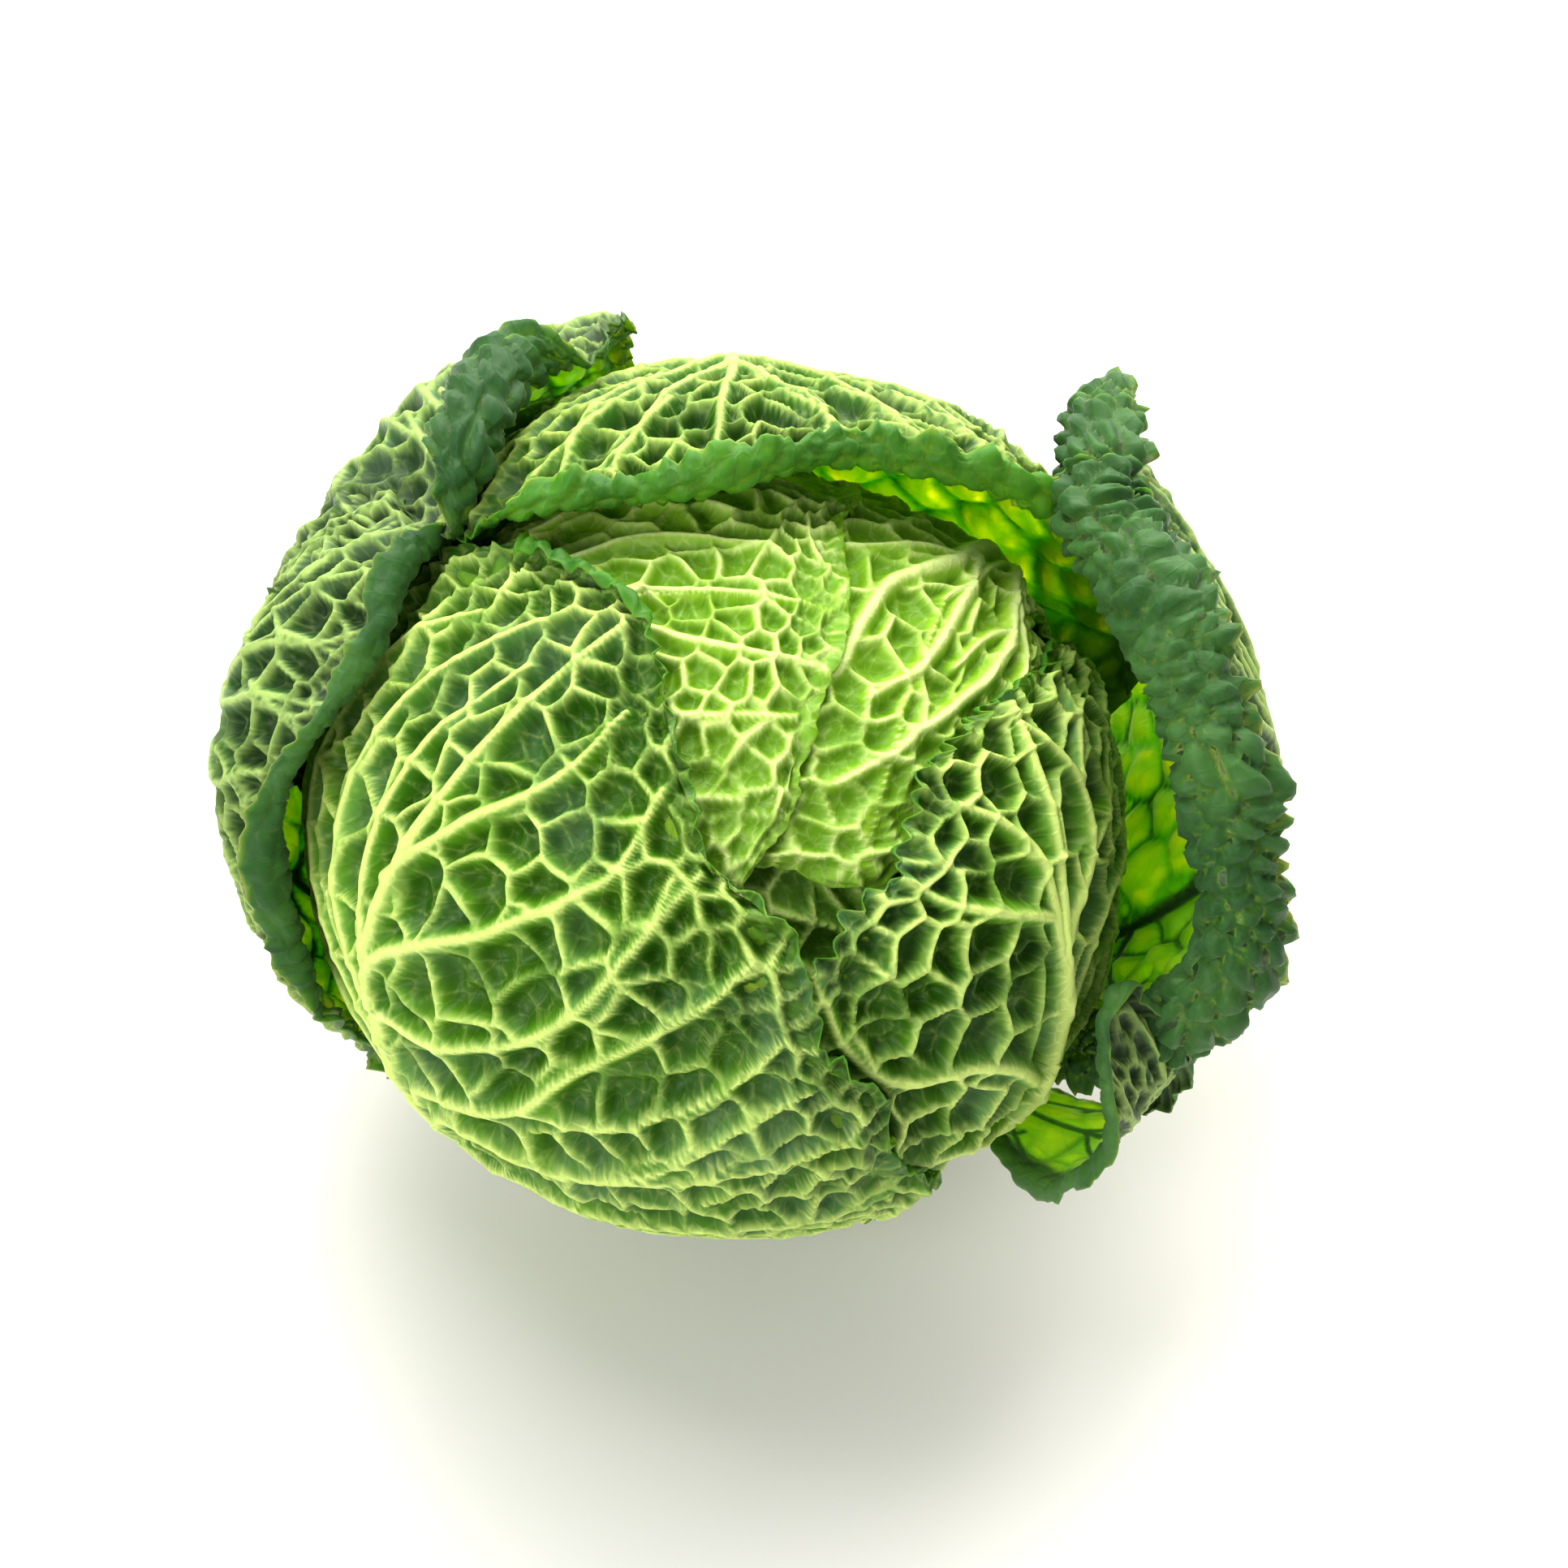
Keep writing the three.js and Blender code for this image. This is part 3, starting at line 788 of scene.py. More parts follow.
        # Painted shade: darkest at the foot of the curl's blisters, only on the curl.
        crease_shade = add_node(
            tree, "ShaderNodeMapRange", EASE, Value=sunk, From_Min=0.0, From_Max=0.5, To_Min=0.9, To_Max=0.0
        )
        painted_crease_shade = add_node(tree, "ShaderNodeMath", TIMES, i0=crease_shade.outputs[0], i1=shade).outputs[0]
        tone = add_node(tree, "ShaderNodeMix", MIX, i0=painted_crease_shade, i6=tone, i7=linear(self.lamina_deep_and_shade)).outputs[2]
        # Painted light: the blade takes the bright lit-through colour in place of its own tone.
        return add_node(tree, "ShaderNodeMix", MIX, i0=shade, i6=linear(self.painted_glow), i7=tone).outputs[2]

    def _skin(
        self,
        tree: bpy.types.NodeTree,
        tone: bpy.types.NodeSocket,
        veinlet: bpy.types.NodeSocket,
        mottle: bpy.types.NodeSocket,
        shade: bpy.types.NodeSocket,
    ) -> bpy.types.NodeSocket:
        """The leaf's skin: its finest bumps, its gloss, and the light that comes through it."""
        line = add_node(tree, "ShaderNodeMath", TIMES, i0=veinlet, i1=0.5).outputs[0]
        grain = add_node(tree, "ShaderNodeMath", TIMES, i0=mottle, i1=0.6).outputs[0]
        height = add_node(tree, "ShaderNodeMath", PLUS, i0=line, i1=grain).outputs[0]
        bump = add_node(tree, "ShaderNodeBump", Strength=0.6, Distance=0.25 * MM, Height=height)
        gloss = add_node(
            tree,
            "ShaderNodeMapRange",
            EASE,
            Value=mottle,
            From_Min=0.2,
            From_Max=0.8,
            To_Min=self.roughness - 0.08,
            To_Max=self.roughness + 0.1,
        )
        # The blade lets light through; its curled margin is doubled over and hardly does.
        glow = add_node(
            tree, "ShaderNodeMapRange", EASE, Value=shade, To_Min=self.glow, To_Max=min(self.glow, 0.3)
        )
        skin = add_node(
            tree,
            "ShaderNodeBsdfPrincipled",
            Base_Color=tone,
            Roughness=gloss.outputs[0],
            Normal=bump.outputs[0],
            Subsurface_Weight=glow.outputs[0],
            Subsurface_Radius=(0.8, 1.0, 0.15),
            Subsurface_Scale=self.through * MM,
            Specular_IOR_Level=0.2,
            Sheen_Weight=self.bloom,
            Sheen_Roughness=0.6,
        )
        return skin.outputs[0]


@dataclass(frozen=True)
class StemFinish:
    """Cut cabbage stalk: pale, fibrous and matt, browned a little where it was cut."""

    name: str = "cut_stalk"
    flesh: str = "#dfe3b4"
    rind: str = "#b9c98a"
    cut: str = "#c7b98a"

    def build(self) -> bpy.types.Material:
        """The stalk's material."""
        material = bpy.data.materials.new(self.name)
        material.use_nodes = True
        tree = material.node_tree
        tree.nodes.clear()
        place = add_node(tree, "ShaderNodeTexCoord").outputs["Object"]
        # Fibres a millimetre wide that run up the stalk.
        long = add_node(tree, "ShaderNodeVectorMath", TIMES, i0=place, i1=(1000, 1000, 90)).outputs[0]
        fibre = add_node(tree, "ShaderNodeTexNoise", Vector=long, Scale=1.0, Detail=4.0).outputs[0]
        # Browned patches about 8 mm across.
        patch = add_node(tree, "ShaderNodeTexNoise", Vector=place, Scale=120.0, Detail=3.0).outputs[0]
        flesh = add_node(tree, "ShaderNodeMapRange", EASE, Value=fibre, From_Min=0.3, From_Max=0.7).outputs[0]
        brown = add_node(
            tree, "ShaderNodeMapRange", EASE, Value=patch, From_Min=0.5, From_Max=0.75, To_Max=0.6
        ).outputs[0]
        tone = add_node(tree, "ShaderNodeMix", MIX, i0=flesh, i6=linear(self.rind), i7=linear(self.flesh))
        tone = add_node(tree, "ShaderNodeMix", MIX, i0=brown, i6=tone.outputs[2], i7=linear(self.cut))
        tone = tone.outputs[2]
        bump = add_node(tree, "ShaderNodeBump", Strength=0.5, Distance=0.4 * MM, Height=fibre)
        skin = add_node(
            tree,
            "ShaderNodeBsdfPrincipled",
            Base_Color=tone,
            Roughness=0.7,
            Normal=bump.outputs[0],
            Subsurface_Weight=0.2,
            Subsurface_Radius=(1.0, 0.9, 0.4),
            Subsurface_Scale=2 * MM,
        )
        end = add_node(tree, "ShaderNodeOutputMaterial")
        tree.links.new(skin.outputs[0], end.inputs[0])
        return material


class Side(enum.Enum):
    """The two faces of a leaf."""

    OUTSIDE = 0
    INSIDE = 1


# Heart leaves have hardly seen light: pale yellow-green, with veins almost white.
HEART_OUT = LeafFinish(
    "heart_leaf_outside",
    lamina="#8abc18",
    lamina_light="#a6d232",
    lamina_deep_and_shade="#568c06",
    vein="#dcee92",
    rim="#96c426",
    roughness=0.42,
)
HEART_IN = LeafFinish(
    "heart_leaf_inside",
    lamina="#8fc02e",
    lamina_light="#a9d044",
    lamina_deep_and_shade="#5a9a18",
    vein="#cfe27c",
    rim="#a4cc3c",
    glow=0.6,
    through=4.0,
)
# Wrapper leaves are mid green with a net that stands out pale.
WRAP_OUT = LeafFinish(
    "wrapper_leaf_outside",
    lamina="#41800c",
    lamina_light="#66a416",
    lamina_deep_and_shade="#1f4a04",
    vein="#d2e87e",
    rim="#4a8a14",
    roughness=0.45,
    wax=0.16,
)
# Their upper face is painted a bright lit-through colour on the blade, painted light, with painted shade in
# the curl's creases.
WRAP_IN = LeafFinish(
    "wrapper_leaf_inside",
    lamina="#2e6614",
    lamina_light="#46861e",
    lamina_deep_and_shade="#123808",
    vein="#6fa03c",
    rim="#4f8f28",
    glow=0.9,
    through=6.0,
    veinlet=0.1,
    painted_glow="#a6dc24",
)
# The leaf that arches over the back has seen more light than the front ones.
BACK_OUT = LeafFinish(
    "back_leaf_outside",
    lamina="#2c660c",
    lamina_light="#468010",
    lamina_deep_and_shade="#143604",
    vein="#b6d068",
    rim="#468016",
    roughness=0.48,
)
# Outer leaves are dark green under a greyish bloom, and their upper face shows on the blisters of the curl.
OUTER_OUT = LeafFinish(
    "outer_leaf_outside",
    lamina="#1c4a10",
    lamina_light="#30641a",
    lamina_deep_and_shade="#0a2406",
    vein="#a0bc64",
    rim="#3f6c26",
    roughness=0.52,
    bloom=0.03,
    wax=0.2,
)
# Their upper face is painted a bright lit-through colour on the blade, painted light, with painted shade in
# the curl's creases.
OUTER_IN = LeafFinish(
    "outer_leaf_inside",
    lamina="#23501f",
    lamina_light="#3f7030",
    lamina_deep_and_shade="#0b220c",
    vein="#456f34",
    rim="#4f7c30",
    roughness=0.5,
    glow=0.9,
    through=6.0,
    veinlet=0.08,
    bloom=0.05,
    painted_glow="#9edc20",
)
# The heart's own face, seen only deep in the gap at the crown.
HEART_CORE = LeafFinish(
    "heart_core",
    lamina="#6fa324",
    lamina_light="#8ab838",
    lamina_deep_and_shade="#437610",
    vein="#c6da7c",
    rim="#7aa82c",
)


# ---------------------------------------------------------------- pieces


def keep(piece: bpy.types.Object, node: str) -> None:
    """Ties a finished piece to the frame and reports it."""
    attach(piece, "root")
    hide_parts(node)
    LOG.info("%s: %d vertices", piece.name, len(piece.data.vertices))


def make_mesh(name: str, points: Array, faces: list[tuple[int, ...]]) -> bpy.types.Object:
    """An object from points in metres and faces."""
    mesh = bpy.data.meshes.new(name)
    mesh.from_pydata(points.tolist(), [], faces)
    mesh.polygons.foreach_set("use_smooth", np.ones(len(mesh.polygons), bool))
    piece = bpy.data.objects.new(name, mesh)
    bpy.context.scene.collection.objects.link(piece)
    return piece


def add_values(piece: bpy.types.Object, name: str, values: Array) -> None:
    """Adds a number, or three, to each of a piece's vertices."""
    kind, key = ("FLOAT_VECTOR", "vector") if values.ndim == 2 else ("FLOAT", "value")
    attribute = piece.data.attributes.new(name, kind, "POINT")
    attribute.data.foreach_set(key, values.astype(np.float32).ravel())


def zipper(first: Sequence[int], second: Sequence[int]) -> list[tuple[int, ...]]:
    """Triangles between two rows of vertices that run side by side."""
    m, n = len(first) - 1, len(second) - 1
    a = b = 0
    faces: list[tuple[int, ...]] = []
    while a < m or b < n:
        if b == n or (a < m and (a + 1) / m <= (b + 1) / n):
            faces.append((first[a], first[a + 1], second[b]))
            a += 1
        else:
            faces.append((first[a], second[b + 1], second[b]))
            b += 1
    return faces


@dataclass
class Leaf:
    """One leaf: its face, its net of veins, its two sides and its rim."""

    shape: LeafShape
    outside: LeafFinish
    inside: LeafFinish
    seed: int
    curl_out: int = 14
    curl_in: int = 36
    plain_rim: int = 4
    face: LeafFace = field(init=False)

    SEEN_FROM: ClassVar[int] = 40  # columns over the inside of a blade that is seen
    TUCK: ClassVar[float] = 1.2  # mm that a flat leaf drops where another lies on it
    BOW_WAVE: ClassVar[float] = 26.0  # mm, as are the next three
    RAGGED_WAVE: ClassVar[float] = 5.5
    FRILL_WAVE: ClassVar[float] = 2.6
    LOBE_WAVE: ClassVar[float] = 14.0

    def __post_init__(self) -> None:
        """Sets up the smooth face."""
        self.face = LeafFace(self.shape)

    def _normals(self, points: Array) -> Array:
        """Directions square to the face, away from the head over the blade."""
        along = np.gradient(points, axis=0)
        across = np.gradient(points, axis=1)
        normal = unit(np.cross(along, across))
        middle = points.shape[1] // 3
        if (normal[:, middle] * points[:, middle]).sum() < 0:
            normal = -normal
        normal[:, 0] = unit(points[:, 0])
        for k in (1, 2, 3):
            normal[:, k] = unit(normal[:, k] * k / 4 + unit(points[:, k]) * (4 - k) / 4)
        return normal

    def _side(
        self, side: Side, columns: Array, curls: Array, rows: Array, cover: Array, net: Network
    ) -> dict[str, Array]:
        """One side's points with what its finish reads.

        Args:
            side: Which side.
            columns: Places over the blade.
            curls: Places round the curl.
            rows: Places round the margin.
            cover: The map of what lies over the leaf.
            net: The leaf's veins.

        Returns:
            Tables of points, rest, vein, sunk, rim and shade.
        """
        shape, relief = self.shape, self.shape.relief
        points, rest, reach = self.face.grid(rows, columns, curls)
        normal = self._normals(points)
        spots, out = rest.reshape(-1, 3), np.tile(reach, len(rows))
        sunk, height, vein = (x.reshape(points.shape[:2]) for x in net.measure(spots, out))
        # The blade is evened so that its walls run clean; the curl keeps its sharp creases.
        blade = (reach <= 1)[None, :]
        sunk, height = np.where(blade, evened(sunk), sunk), np.where(blade, evened(height), height)
        _, azimuth, polar = LeafMap.cells(points)
        bare = 1 - smoothstep(LeafMap.read(cover, azimuth, polar), 0.55, 0.97)
        foot = 1 - smoothstep(polar, 98, 150)
        calm = (0.12 + 0.88 * bare) * (0.25 + 0.75 * foot)
        if side is Side.INSIDE:
            # The inside keeps below the outside's fields: level where it's hidden, and nearly so elsewhere.
            level = 1.0 if shape.inner_blade < self.SEEN_FROM else 0.35
            sunk = sunk + level * (1.25 - sunk) * (1 - smoothstep(reach, 0.8, 0.98))[None, :]
        depth = np.full(sunk.shape, relief.depth)
        if shape.curl:
            shallow = np.minimum(0.95 * depth, 0.5 * shape.curl.radius)
            depth = np.where(reach[None, :] > 1, shallow, depth)
        bow = relief.bow * noise(rest / self.BOW_WAVE, self.seed + Salt.BOW)
        last = self._last(rows, reach)
        frill = noise(rest / self.RAGGED_WAVE, self.seed + Salt.FRILL)
        frill = frill + 0.8 * noise(rest / self.FRILL_WAVE, self.seed + Salt.FINE_FRILL)
        frill = relief.frill * last**2 * frill
        under = self.TUCK * (1 - bare) * (shape.curl is None)
        middle = calm * (depth * (0.55 - sunk) + bow + frill) - under
        end = np.clip((reach - reach[-1] + 0.12) / 0.12, 0, 1)[None, :]
        thick = 0.5 * shape.thick * (1 - 0.5 * end)
        if side is Side.OUTSIDE:
            offset = middle + thick / 2 + calm * height * (1 - 0.5 * end)
        else:
            offset = middle - thick / 2 + 0.25 * calm * height
        ragged = 1.7 * noise(rest / self.RAGGED_WAVE, self.seed + Salt.RAGGED)
        ragged = ragged + 2.0 * noise(rest / self.LOBE_WAVE, self.seed + Salt.LONG_RAGGED)
        across = unit(np.gradient(points, axis=1))
        points = points + normal * offset[..., None] + across * (ragged * last**3)[..., None]
        rim = np.broadcast_to(smoothstep(reach, reach[-1] - 0.1, reach[-1]), sunk.shape)
        # shade is 0 over the blade and 1 on the curl: it sets where upper faces get the painted glow or the
        # painted crease shade, and how much light comes through.
        shade = np.broadcast_to(smoothstep(reach, 0.75, 1.02), sunk.shape)
        return {"points": points, "rest": rest, "vein": vein, "sunk": sunk, "rim": rim, "shade": shade}

    def _last(self, rows: Array, reach: Array) -> Array:
        """How near each place is to the leaf's very edge, from 0 to 1, past the curl where there is one."""
        curled = self.face.curled(rows)[:, None]
        past_curl = np.clip((reach - 1.5) / 0.5, 0, 1)
        past_blade = np.clip((reach - 0.86) / 0.14, 0, 1)
        return curled * past_curl + (1 - curled) * past_blade

    def _spread(self, rows: int) -> Array:
        """Places round the margin, closest together where the blade spreads widest.

        Args:
            rows: How many steps to take round the margin.

        Returns:
            One more place than steps, the same from either end.
        """
        even = np.linspace(0, 1, 4 * rows + 1)
        points, _, _ = self.face.grid(even, np.linspace(0, 1, 6), np.ones(1))
        step = np.linalg.norm(np.diff(points[:, :6], axis=0), axis=2).max(axis=1)
        step = np.maximum(step, step[::-1])
        way = np.concatenate([[0.0], np.cumsum(step + 0.25 * step.mean())])
        return np.interp(np.linspace(0, 1, rows + 1), way / way[-1], even)

    def build(self, cover: Array, beneath: LeafMap | None, middle: Array) -> bpy.types.Object:
        """Builds the leaf.

        Args:
            cover: The map of what lies over the leaf.
            beneath: The map of the leaves it has to lie on, if it does.
            middle: The middle of the head, in metres.

        Returns:
            The finished piece.
        """
        shape = self.shape
        scale = 1.0
        rows = 2 * int(shape.rows * scale / 2)
        t = self._spread(rows)
        net = Network(self.face, self.seed)
        tables = []
        for side, blade, curl in (
            (Side.OUTSIDE, shape.blade, self.curl_out),
            (Side.INSIDE, shape.inner_blade, self.curl_in),
        ):
            steps = int(curl * scale) if shape.curl else self.plain_rim
            columns = np.linspace(0, 1, int(blade * scale))
            tables.append(self._side(side, columns, np.arange(1, steps + 1) / steps, t, cover, net))
        outer, inner = tables
        if beneath is not None:
            for table, gap in ((outer, shape.thick + 0.2), (inner, CLEAR)):
                p = table["points"]
                table["points"] = p + unit(p) * beneath.above(p, gap)[..., None]
            beneath.lay(outer["points"])
        for table in (outer, inner):
            spine = table["points"][:, 0]
            table["points"][:, 0] = (spine + spine[::-1]) / 2
        return self._join(outer, inner, rows, middle)

    def _join(self, outer: dict, inner: dict, rows: int, middle: Array) -> bpy.types.Object:
        """Closes the two sides into one body and dresses it."""
        wide, narrow = outer["points"].shape[1], inner["points"].shape[1]
        shift = (rows + 1) * wide

        def index(row: Array, column: Array, width: int, start: int) -> Array:
            folded = np.where(column == 0, np.minimum(row, rows - row), row)
            return start + folded * width + column

        def quads(width: int, start: int) -> Array:
            i, j = np.meshgrid(np.arange(rows), np.arange(width - 1), indexing="ij")
            i, j = i.ravel(), j.ravel()
            corners = ((i, j), (i + 1, j), (i + 1, j + 1), (i, j + 1))
            return np.stack([index(a, b, width, start) for a, b in corners], -1)

        def border(width: int, start: int) -> list[list[int]]:
            columns = np.arange(width)
            lines = (
                index(np.zeros(width, int), columns, width, start),
                index(np.arange(rows + 1), np.full(rows + 1, width - 1), width, start),
                index(np.full(width, rows), columns, width, start)[::-1],
            )
            return [line.tolist() for line in lines]

        top, under = quads(wide, 0), quads(narrow, shift)[:, ::-1]
        rim = [f for a, b in zip(border(wide, 0), border(narrow, shift)) for f in zipper(a, b)]
        points = np.concatenate([outer["points"].reshape(-1, 3), inner["points"].reshape(-1, 3)])
        # The blade's faces have to look away from the head.
        probe = top[len(top) // 4]
        a, b, c = points[probe[0]], points[probe[1]], points[probe[2]]
        faces = [tuple(f) for f in top.tolist()] + [tuple(f) for f in under.tolist()] + rim
        if np.cross(b - a, c - a) @ a < 0:
            faces = [f[::-1] for f in faces]
        used = np.zeros(len(points), bool)
        used[np.unique(np.concatenate([top.ravel(), under.ravel()]))] = True
        renumber = np.cumsum(used) - 1
        table = renumber.tolist()
        faces = [tuple(table[k] for k in f) for f in faces]
        piece = make_mesh(self.shape.name, points[used] * MM + middle, faces)
        for name in ("rest", "vein", "sunk", "rim", "shade"):
            shape = (-1, 3) if name == "rest" else (-1,)
            values = np.concatenate([outer[name].reshape(shape), inner[name].reshape(shape)])
            add_values(piece, name, values[used])
        piece.data.materials.append(self.outside.build())
        piece.data.materials.append(self.inside.build())
        sides = np.zeros(len(faces), np.int32)
        sides[len(top) :] = Side.INSIDE.value
        piece.data.polygons.foreach_set("material_index", sides)
        keep(piece, self.shape.name)
        return piece


@dataclass
class Heart:
    """The tightly packed inner leaves, seen only as a crumpled face in the gap between the wrappers."""

    radius: float = 76.0
    seed: int = 90
    reach: float = 0.4
    relief: float = 2.4
    fold: float = 1.6
    fold_wave: float = 14.0

    def build(self, middle: Array) -> bpy.types.Object:
        """Builds the heart round the middle of the head, in metres."""
        shape = LeafShape(
            "heart",
            "heart",
            300,
            ((300, BASE), (300, 100), (300, 30)),
            ((200, 150), (215, 90), (230, 30)),
            (300, 12),
            ((10, 30), (25, 90), (40, 150)),
            ((165, self.radius), (30, self.radius)),
            rib_width=3.0,
            laterals=(0.2, 0.3, 0.4, 0.6, 0.7, 0.8),
            relief=Relief(11, 8, self.relief, 0.9),
        )
        net = Network(LeafFace(shape), self.seed)
        rings, spokes = ((200, 400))
        polar = np.linspace(0, 180, rings + 1)[1:-1]
        azimuth = np.arange(spokes) * 360 / spokes
        rays = direction(azimuth[None, :], polar[:, None]).reshape(-1, 3)
        rays = np.concatenate([rays, [[0, 0, 1.0], [0, 0, -1.0]]])
        rest = rays * net.face.rest_radius
        sunk, height, vein = net.measure(rest, np.full(len(rest), self.reach))
        fold = self.fold * noise(rest / self.fold_wave, self.seed)
        radius = self.radius + 0.4 - self.relief * sunk + height + fold
        points = rays * radius[:, None]
        top, bottom = len(rays) - 2, len(rays) - 1
        faces: list[tuple[int, ...]] = []
        for i in range(rings - 2):
            for j in range(spokes):
                n = (j + 1) % spokes
                faces.append((i * spokes + j, (i + 1) * spokes + j, (i + 1) * spokes + n, i * spokes + n))
        last = (rings - 2) * spokes
        for j in range(spokes):
            n = (j + 1) % spokes
            faces.append((top, j, n))
            faces.append((bottom, last + n, last + j))
        piece = make_mesh("heart", points * MM + middle, faces)
        add_values(piece, "rest", rest)
        none = np.zeros(len(rest))
        for name, values in (("vein", vein), ("sunk", sunk), ("rim", none), ("shade", none)):
            add_values(piece, name, values)
        piece.data.materials.append(HEART_CORE.build())
        keep(piece, "heart")
        return piece


@dataclass
class Stem:
    """The cut stalk that the head stands on, with its ring of sap vessels in the cut face."""

    vessels: int = 26
    vessel_radius: float = 0.8
    ring_share: float = 0.74
    edge: float = 1.5
    sides: int = 96

    def build(self) -> bpy.types.Object:
        """Builds the stalk inside its node's box."""
        low, high = (np.array(corner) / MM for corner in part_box("stem"))
        centre = (low + high) / 2
        foot = (high[0] - low[0]) / 2
        face = low[2] + 0.5
        heights = np.array([face, face, face, low[2] + 0.7, low[2] + self.edge, 12, 20, high[2] + 4])
        widths = np.array([4, 9, foot - self.edge, foot - 0.4, foot, foot - 1.0, foot - 2.0, foot - 4])
        count = self.sides
        around = np.arange(count) * 2 * math.pi / count
        ring = np.stack([np.cos(around), np.sin(around), np.zeros(count)], -1)
        flutes = 1 + 0.018 * np.sin(9 * around) + 0.012 * np.sin(23 * around + 1)
        points = []
        for width, height in zip(widths, heights):
            # Only the stalk's side is fluted; the middle of the cut face is flat and round.
            wide = width * flutes[:, None] if width > 10 else width
            points.append(ring * wide + (0, 0, height))
        stack = np.concatenate([*points, [[0, 0, face], [0, 0, high[2] + 5]]]) + (centre[0], centre[1], 0)
        faces: list[tuple[int, ...]] = []
        for i in range(len(widths) - 1):
            low_ring, high_ring = i * count, (i + 1) * count
            for j in range(count):
                n = (j + 1) % count
                faces.append((low_ring + j, low_ring + n, high_ring + n, high_ring + j))
        bottom, top, last = len(stack) - 2, len(stack) - 1, (len(widths) - 1) * count
        for j in range(count):
            n = (j + 1) % count
            faces.append((bottom, n, j))
            faces.append((top, last + j, last + n))
        material = StemFinish().build()
        piece = make_mesh("stem", stack * MM, faces)
        piece.data.materials.append(material)
        self._add_vessels(piece, material, Vector((centre * MM)[:2]), face * MM, foot * MM * self.ring_share)
        keep(piece, "stem")
        return piece

    def _add_vessels(
        self, piece: bpy.types.Object, material: bpy.types.Material, centre: Vector, face: float, ring: float
    ) -> None:
        """Sets a ring of small beads, the ends of the sap vessels, in the cut face, with Geometry Nodes."""
        tree = bpy.data.node_groups.new("vessel_ring", "GeometryNodeTree")
        tree.interface.new_socket("Geometry", in_out="INPUT", socket_type="NodeSocketGeometry")
        sizes = {"Ring radius": ring, "Vessel radius": self.vessel_radius * MM}
        for name, value in sizes.items():
            socket = tree.interface.new_socket(name, in_out="INPUT", socket_type="NodeSocketFloat")
            socket.default_value = value
        count = tree.interface.new_socket("Vessels", in_out="INPUT", socket_type="NodeSocketInt")
        count.default_value = self.vessels
        tree.interface.new_socket("Geometry", in_out="OUTPUT", socket_type="NodeSocketGeometry")
        given = add_node(tree, "NodeGroupInput")
        circle = add_node(
            tree,
            "GeometryNodeMeshCircle",
            Vertices=given.outputs["Vessels"],
            Radius=given.outputs["Ring radius"],
        )
        bead = add_node(
            tree, "GeometryNodeMeshIcoSphere", Radius=given.outputs["Vessel radius"], Subdivisions=2
        )
        flat = add_node(tree, "GeometryNodeTransform", Geometry=bead.outputs["Mesh"], Scale=(1.0, 1.5, 0.5))
        place = add_node(tree, "GeometryNodeInputPosition").outputs[0]
        turn = add_node(tree, "FunctionNodeAlignRotationToVector", {"axis": "X"}, Vector=place)
        vary = add_node(tree, "FunctionNodeRandomValue", {"data_type": "FLOAT"}, Seed=SEED)
        vary.inputs[2].default_value, vary.inputs[3].default_value = 0.7, 1.15
        beads = add_node(
            tree,
            "GeometryNodeInstanceOnPoints",
            Points=circle.outputs[0],
            Instance=flat.outputs[0],
            Rotation=turn.outputs[0],
            Scale=vary.outputs[1],
        )
        placed = add_node(
            tree, "GeometryNodeTransform", Geometry=beads.outputs[0], Translation=(centre[0], centre[1], face)
        )
        joined = add_node(tree, "GeometryNodeJoinGeometry")
        tree.links.new(given.outputs["Geometry"], joined.inputs[0])
        tree.links.new(placed.outputs[0], joined.inputs[0])
        real = add_node(tree, "GeometryNodeRealizeInstances", Geometry=joined.outputs[0])
        dressed = add_node(tree, "GeometryNodeSetMaterial", Geometry=real.outputs[0], Material=material)
        end = add_node(tree, "NodeGroupOutput")
        tree.links.new(dressed.outputs[0], end.inputs[0])
        modifier = piece.modifiers.new("vessels", "NODES")
        modifier.node_group = tree
        graph = bpy.context.evaluated_depsgraph_get()
        mesh = bpy.data.meshes.new_from_object(piece.evaluated_get(graph))
        piece.modifiers.remove(modifier)
        piece.data = mesh


# ---------------------------------------------------------------- this head's leaves

HEART_RELIEF = Relief(13.0, 7.0, 2.6, 1.0, frill=1.8, bow=1.0)
WRAP_RELIEF = Relief(15.0, 8.0, 5.2, 1.6, frill=3.2, bow=1.8)
OUTER_RELIEF = Relief(14.0, 5.4, 4.6, 1.5, frill=2.4, bow=3.0, curl_share=0.9)
ALL_ROUND = (0.1, 0.17, 0.24, 0.31, 0.37, 0.43, 0.57, 0.63, 0.69, 0.76, 0.83, 0.9)
FEW = (0.14, 0.24, 0.34, 0.43, 0.57, 0.66, 0.76, 0.86)

